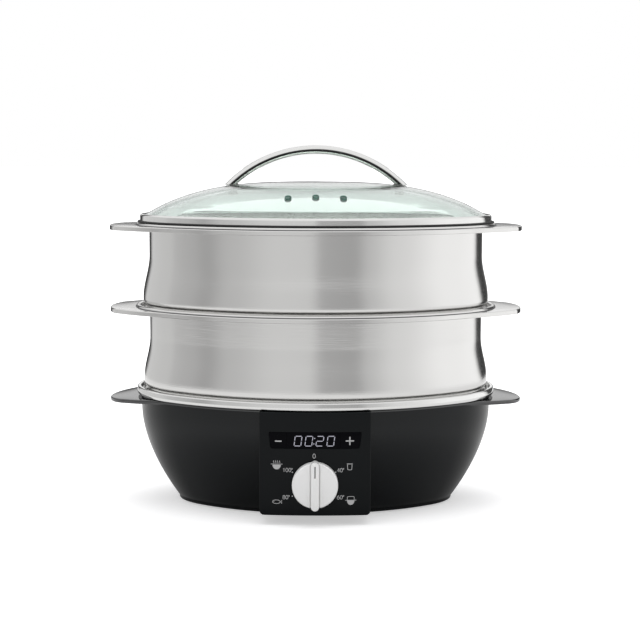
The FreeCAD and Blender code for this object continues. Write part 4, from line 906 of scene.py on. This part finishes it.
def level_line(half, z):
    """A level line of three points."""
    return [(-half, z), (0, z), (half, z)]


def steam(x):
    """A wavy line that rises from a bowl."""
    t = np.linspace(0, 1, 12)
    return np.column_stack([x + 0.3 * np.sin(6.3 * t), 1.1 + 2.5 * t]), 0.42


# the four signs round the dial: a middle (x, z), filled outlines, and lines with their widths
PICTOGRAMS = (
    ((-34.4, 55.8), [brimmed_bowl(3.7, 4.0, 0.4, 0.2)],
     [(level_line(5.2, 0.4), 0.45)] + [steam(x) for x in (-2.7, -0.9, 0.9, 2.7)]),
    ((31.1, 53.9), [],
     [([(-2.0, 2.0), (-2.0, 0), (-1.7, -2.7), (0, -2.8), (1.7, -2.7), (2.0, 0), (2.0, 2.0)], 0.5),
      (level_line(2.6, 2.6), 0.6)]),
    ((-34.7, 21.8), [arc(-2.2, 0.4, 0.35, 0.35, steps=12)],
     [(arc(0, 0, 3.4, 1.7, 25, 335, 30), 0.45),
      ([(3.1, 0.7), (3.6, 0), (5.2, 1.7), (4.7, 0), (5.2, -1.7), (3.6, 0), (3.1, -0.7)], 0.4)]),
    ((32.1, 23.2), [brimmed_bowl(3.3, 3.9, 0.2, 0)],
     [(level_line(5.0, 0.2), 0.45),
      ([(-3.1, 0.5), (-3.1, 3.0), (-2.4, 3.6), (2.4, 3.6), (3.1, 3.0), (3.1, 0.5)], 0.42)]),
)
TEMPERATURES = {"100": (-28.9, 49.2), "40": (19.9, 49.2), "80": (-28.9, 24.4), "60": (19.9, 24.4)}
DIAL_DOTS = ((-20.3, 48.9), (18.4, 49.0), (-20.3, 27.1), (18.1, 27.3))
SEGMENTS = {"0": "abcdef", "2": "abged"}


class STEAMER_OT_marks(bpy.types.Operator):
    """Printed figures, signs and pictograms of the panel and the lit figures of the window"""
    bl_idname = "steamer.marks"
    bl_label = "Panel marks"

    def execute(self, context):
        minus = [stroke(np.add(level_line(3.0, 0), (-33.0, 77.0)), 1.15)]
        cross = np.array(level_line(3.7, 0))
        plus = [stroke(cross + (31.1, 77.4), 1.1), stroke(cross[:, ::-1] + (31.1, 77.4), 1.1, proud=0.065)]
        make_piece("minus_sign", minus, "print", "minus_button")
        make_piece("plus_sign", plus, "print", "plus_button")
        lit = [bar for x, figure in ((-18.9, "0"), (-9.15, "0"), (0.65, "2"), (10.4, "0"))
               for bar in seven_segments(SEGMENTS[figure], x, z=72.9, width=6.1, height=8.8)]
        lit += [dot(x, z, 0.5, 0.03) for x, z in ((-0.4, 79.8), (-1.1, 74.8))]
        make_piece("lit_figures", lit, "digits", "base")
        marks = digit("0", x=-2.0, z=61.8, height=3.9) + [dot(x, z, 0.6) for x, z in DIAL_DOTS]
        for figures, (x, z) in TEMPERATURES.items():
            marks += temperature(figures, x, z)
        for middle, outlines, lines in PICTOGRAMS:
            marks += [blot(np.add(outline, middle)) for outline in outlines]
            marks += [stroke(np.add(path, middle), width) for path, width in lines]
        make_piece("panel_marks", marks, "print", "base")
        return {"FINISHED"}


class STEAMER_OT_knob(bpy.types.Operator):
    """Satin dial with a grip bar and its pointer line"""
    bl_idname = "steamer.knob"
    bl_label = "Dial"

    def execute(self, context):
        b = sizes("base")
        z, back, bar_width, bar_length, bar_rise = b["knob_z"], -b["panel_front"] - 0.6, 7.5, 44.0, 4.95
        front = back - 7.4
        disc = dial_disc(b["knob_radius"], z, back, front, edge=1.4, slot_half=bar_width / 2 + 0.05,
                         slot_gap=0.8, slot_depth=2.4)
        bar = grip_bar(bar_width, bar_length, z, back - 1.5, front - bar_rise)
        make_piece("dial", [disc, bar], "satin", "knob", ["control_knob"], sharp=30)
        half, proud, sunk = 0.45, front - bar_rise - 0.03, front - bar_rise + 0.15
        x, y = np.array([(-half, proud), (half, proud), (half, sunk), (-half, sunk)]).T
        pointer = np.stack(np.broadcast_arrays(x, y, np.linspace(z + 8.0, z + 18.5, 3)[:, None]), -1)
        make_piece("dial_pointer", [sheet_of(pointer)], "panel", "knob")
        return {"FINISHED"}


# brightness of the surroundings by degrees to the right of the line from the steamer to the camera
SURROUND_STOPS = (
    (-180, 0.05), (-151, 0.04), (-146, 0.3), (-141, 0.74), (-95, 0.70), (-72, 0.55), (-61, 0.46),
    (-48, 0.62), (-20, 0.77), (-2, 0.76), (3, 0.50), (22, 0.46), (28, 0.66), (45, 0.88), (75, 1.15),
    (121, 1.2), (126, 0.85), (132, 0.06), (150, 0.06), (158, 0.15), (180, 0.2))


def surround_group():
    """Brightness of the surroundings in a direction: by its angle round the steamer, and white well above the
    horizon as well as straight behind the steamer just above the horizon."""
    if "Studio Surround" in bpy.data.node_groups:
        return bpy.data.node_groups["Studio Surround"]
    tree, given, out = group_of("Studio Surround", {"Direction": (0.0, 0.0, 0.0)}, ("Value",))
    unit = node(tree, "VectorMath", {0: given.outputs["Direction"]}, operation="NORMALIZE")
    x, y, z = node(tree, "SeparateXYZ", {0: unit.outputs[0]}).outputs
    around = math_node(tree, "ARCTAN2", x, math_node(tree, "MULTIPLY", y, -1.0))
    bands = node(tree, "ValToRGB", {"Fac": ranged(tree, around, -math.pi, math.pi)})
    ramp = bands.color_ramp
    ramp.interpolation = "EASE"
    while len(ramp.elements) < len(SURROUND_STOPS):
        ramp.elements.new(0.5)
    for element, (degrees, value) in zip(ramp.elements, SURROUND_STOPS):
        element.position = degrees / 360 + 0.5
        element.color = (value, value, value, 1)
    above = ranged(tree, z, 0.34, 0.5, interpolation_type="SMOOTHSTEP")
    rear = ranged(tree, y, 0.89, 0.97, interpolation_type="SMOOTHSTEP")
    low = ranged(tree, z, 0.05, 0.12, interpolation_type="SMOOTHSTEP")
    white = math_node(tree, "MAXIMUM", above, math_node(tree, "MULTIPLY", rear, low))
    lit = node(tree, "Mix", {0: white, 2: bands.outputs["Color"]})
    lit.inputs[3].default_value = 1.0
    tree.links.new(lit.outputs[0], out.inputs["Value"])
    return tree


def surround_of(tree, direction):
    """The brightness of the surroundings in a direction, as an output in a tree."""
    surround = tree.nodes.new("ShaderNodeGroup")
    surround.node_tree = surround_group()
    tree.links.new(direction, surround.inputs["Direction"])
    return surround.outputs["Value"]


def rays(tree):
    """Outputs that are 1 for what the camera sees, also through glass, and for reflections."""
    path = node(tree, "LightPath").outputs
    seen = math_node(tree, "MAXIMUM", path["Is Camera Ray"], path["Is Transmission Ray"])
    return seen, path["Is Glossy Ray"]


class STEAMER_OT_stage(bpy.types.Operator):
    """White floor and surroundings, a soft lamp and the camera"""
    bl_idname = "steamer.stage"
    bl_label = "Stage"

    def floor(self):
        """A floor that takes shadows, looks white, and shows the surroundings in glossy pieces, where a
        painted shadow darkens it towards the base.
        """
        mesh, reach = bpy.data.meshes.new("floor"), 30.0
        mesh.from_pydata([(x * reach, y * reach, 0) for x, y in ((-1, -1), (1, -1), (1, 1), (-1, 1))], [],
                         [(0, 1, 2, 3)])
        material, tree, shader = principled("studio_floor", (0.82, 0.82, 0.82), {"Roughness": 0.9})
        seen, glossy = rays(tree)
        place = node(tree, "TexCoord").outputs["Object"]
        away = node(tree, "VectorMath", {0: place}, operation="LENGTH").outputs["Value"]
        glow = math_node(tree, "MULTIPLY", seen, ranged(tree, away, 0.35, 1.4, To_Min=0.48))
        shader.inputs["Emission Color"].default_value = WHITE
        tree.links.new(glow, shader.inputs["Emission Strength"])
        mirrored = node(tree, "Mix", {0: ranged(tree, away, 1.2, 1.0), 2: surround_of(tree, place)})
        mirrored.inputs[3].default_value = 0.95
        # painted shadow: in reflections the floor darkens towards the base, standing for its contact shadow
        foot = ranged(tree, away, 0.10, 0.30, To_Min=0.15)
        mirrored = math_node(tree, "MULTIPLY", mirrored.outputs[0], foot)
        reflected = node(tree, "Emission", {"Strength": mirrored})
        either = node(tree, "MixShader", {0: glossy, 1: shader.outputs[0], 2: reflected.outputs[0]})
        tree.links.new(either.outputs[0], tree.nodes["Material Output"].inputs["Surface"])
        mesh.materials.append(material)
        return bpy.data.objects.new("floor", mesh)

    def world(self):
        """White where the camera sees it, the surroundings in reflections, and plain grey as a light."""
        world = bpy.data.worlds.new("studio")
        world.use_nodes = True
        tree = world.node_tree
        tree.nodes.clear()
        seen, glossy = rays(tree)
        surround = surround_of(tree, node(tree, "TexCoord").outputs["Generated"])
        around = node(tree, "Background", {"Strength": surround}, Color=WHITE)
        plain = node(tree, "Background", Color=(0.62, 0.62, 0.63, 1.0), Strength=1.0)
        white = node(tree, "Background", Color=WHITE, Strength=1.0)
        unseen = node(tree, "MixShader", {0: glossy, 1: plain.outputs[0], 2: around.outputs[0]})
        both = node(tree, "MixShader", {0: seen, 1: unseen.outputs[0], 2: white.outputs[0]})
        tree.links.new(both.outputs[0], tree.nodes.new("ShaderNodeOutputWorld").inputs["Surface"])
        return world

    def execute(self, context):
        scene = context.scene
        scene.view_settings.view_transform = "Standard"
        scene.world = self.world()

        lamp = bpy.data.lights.new("overhead", "AREA")
        lamp.shape, lamp.size, lamp.energy = "SQUARE", 1.8, 22.0
        overhead = bpy.data.objects.new("overhead", lamp)
        overhead.location = (0.0, 0.25, 1.6)
        overhead.visible_glossy = False
        for staged in (self.floor(), overhead):
            scene.collection.objects.link(staged)

        lens = bpy.data.cameras.new("camera")
        lens.lens, lens.sensor_width = 86.1, 36.0
        camera = bpy.data.objects.new("camera", lens)
        camera.location = (0.003, (MIDDLE_Y - 1470.0) * MM, 0.3342)
        camera.rotation_euler = [math.radians(angle) for angle in (90 - 6.27, -0.15, -0.03)]
        scene.collection.objects.link(camera)
        scene.camera = camera
        return {"FINISHED"}


class STEAMER_PT_panel(bpy.types.Panel):
    """Lists the pieces of the steamer"""
    bl_label = "Oval Food Steamer"
    bl_idname = "STEAMER_PT_panel"
    bl_space_type = "VIEW_3D"
    bl_region_type = "UI"
    bl_category = "Steamer"

    def draw(self, context):
        for operator in PIECES:
            self.layout.operator(operator.bl_idname)


PROPERTY_GROUPS = {"stack": StackSizes, "base": BaseSizes, "lid": LidSizes, "finishes": Finishes}
PIECES = (STEAMER_OT_base, STEAMER_OT_rim, STEAMER_OT_tank, STEAMER_OT_baskets, STEAMER_OT_lid,
          STEAMER_OT_handle, STEAMER_OT_panel, STEAMER_OT_marks, STEAMER_OT_knob, STEAMER_OT_stage)


def register():
    for group in PROPERTY_GROUPS.values():
        bpy.utils.register_class(group)
    for name, group in PROPERTY_GROUPS.items():
        setattr(bpy.types.Scene, "steamer_" + name, PointerProperty(type=group))
    for operator in PIECES + (STEAMER_PT_panel,):
        bpy.utils.register_class(operator)


def unregister():
    for operator in reversed(PIECES + (STEAMER_PT_panel,)):
        bpy.utils.unregister_class(operator)
    for name in PROPERTY_GROUPS:
        delattr(bpy.types.Scene, "steamer_" + name)
    for group in PROPERTY_GROUPS.values():
        bpy.utils.unregister_class(group)


def main():
    register()
    for operator in PIECES:
        category, name = operator.bl_idname.split(".")
        getattr(getattr(bpy.ops, category), name)()


if __name__ == "__main__":
    main()
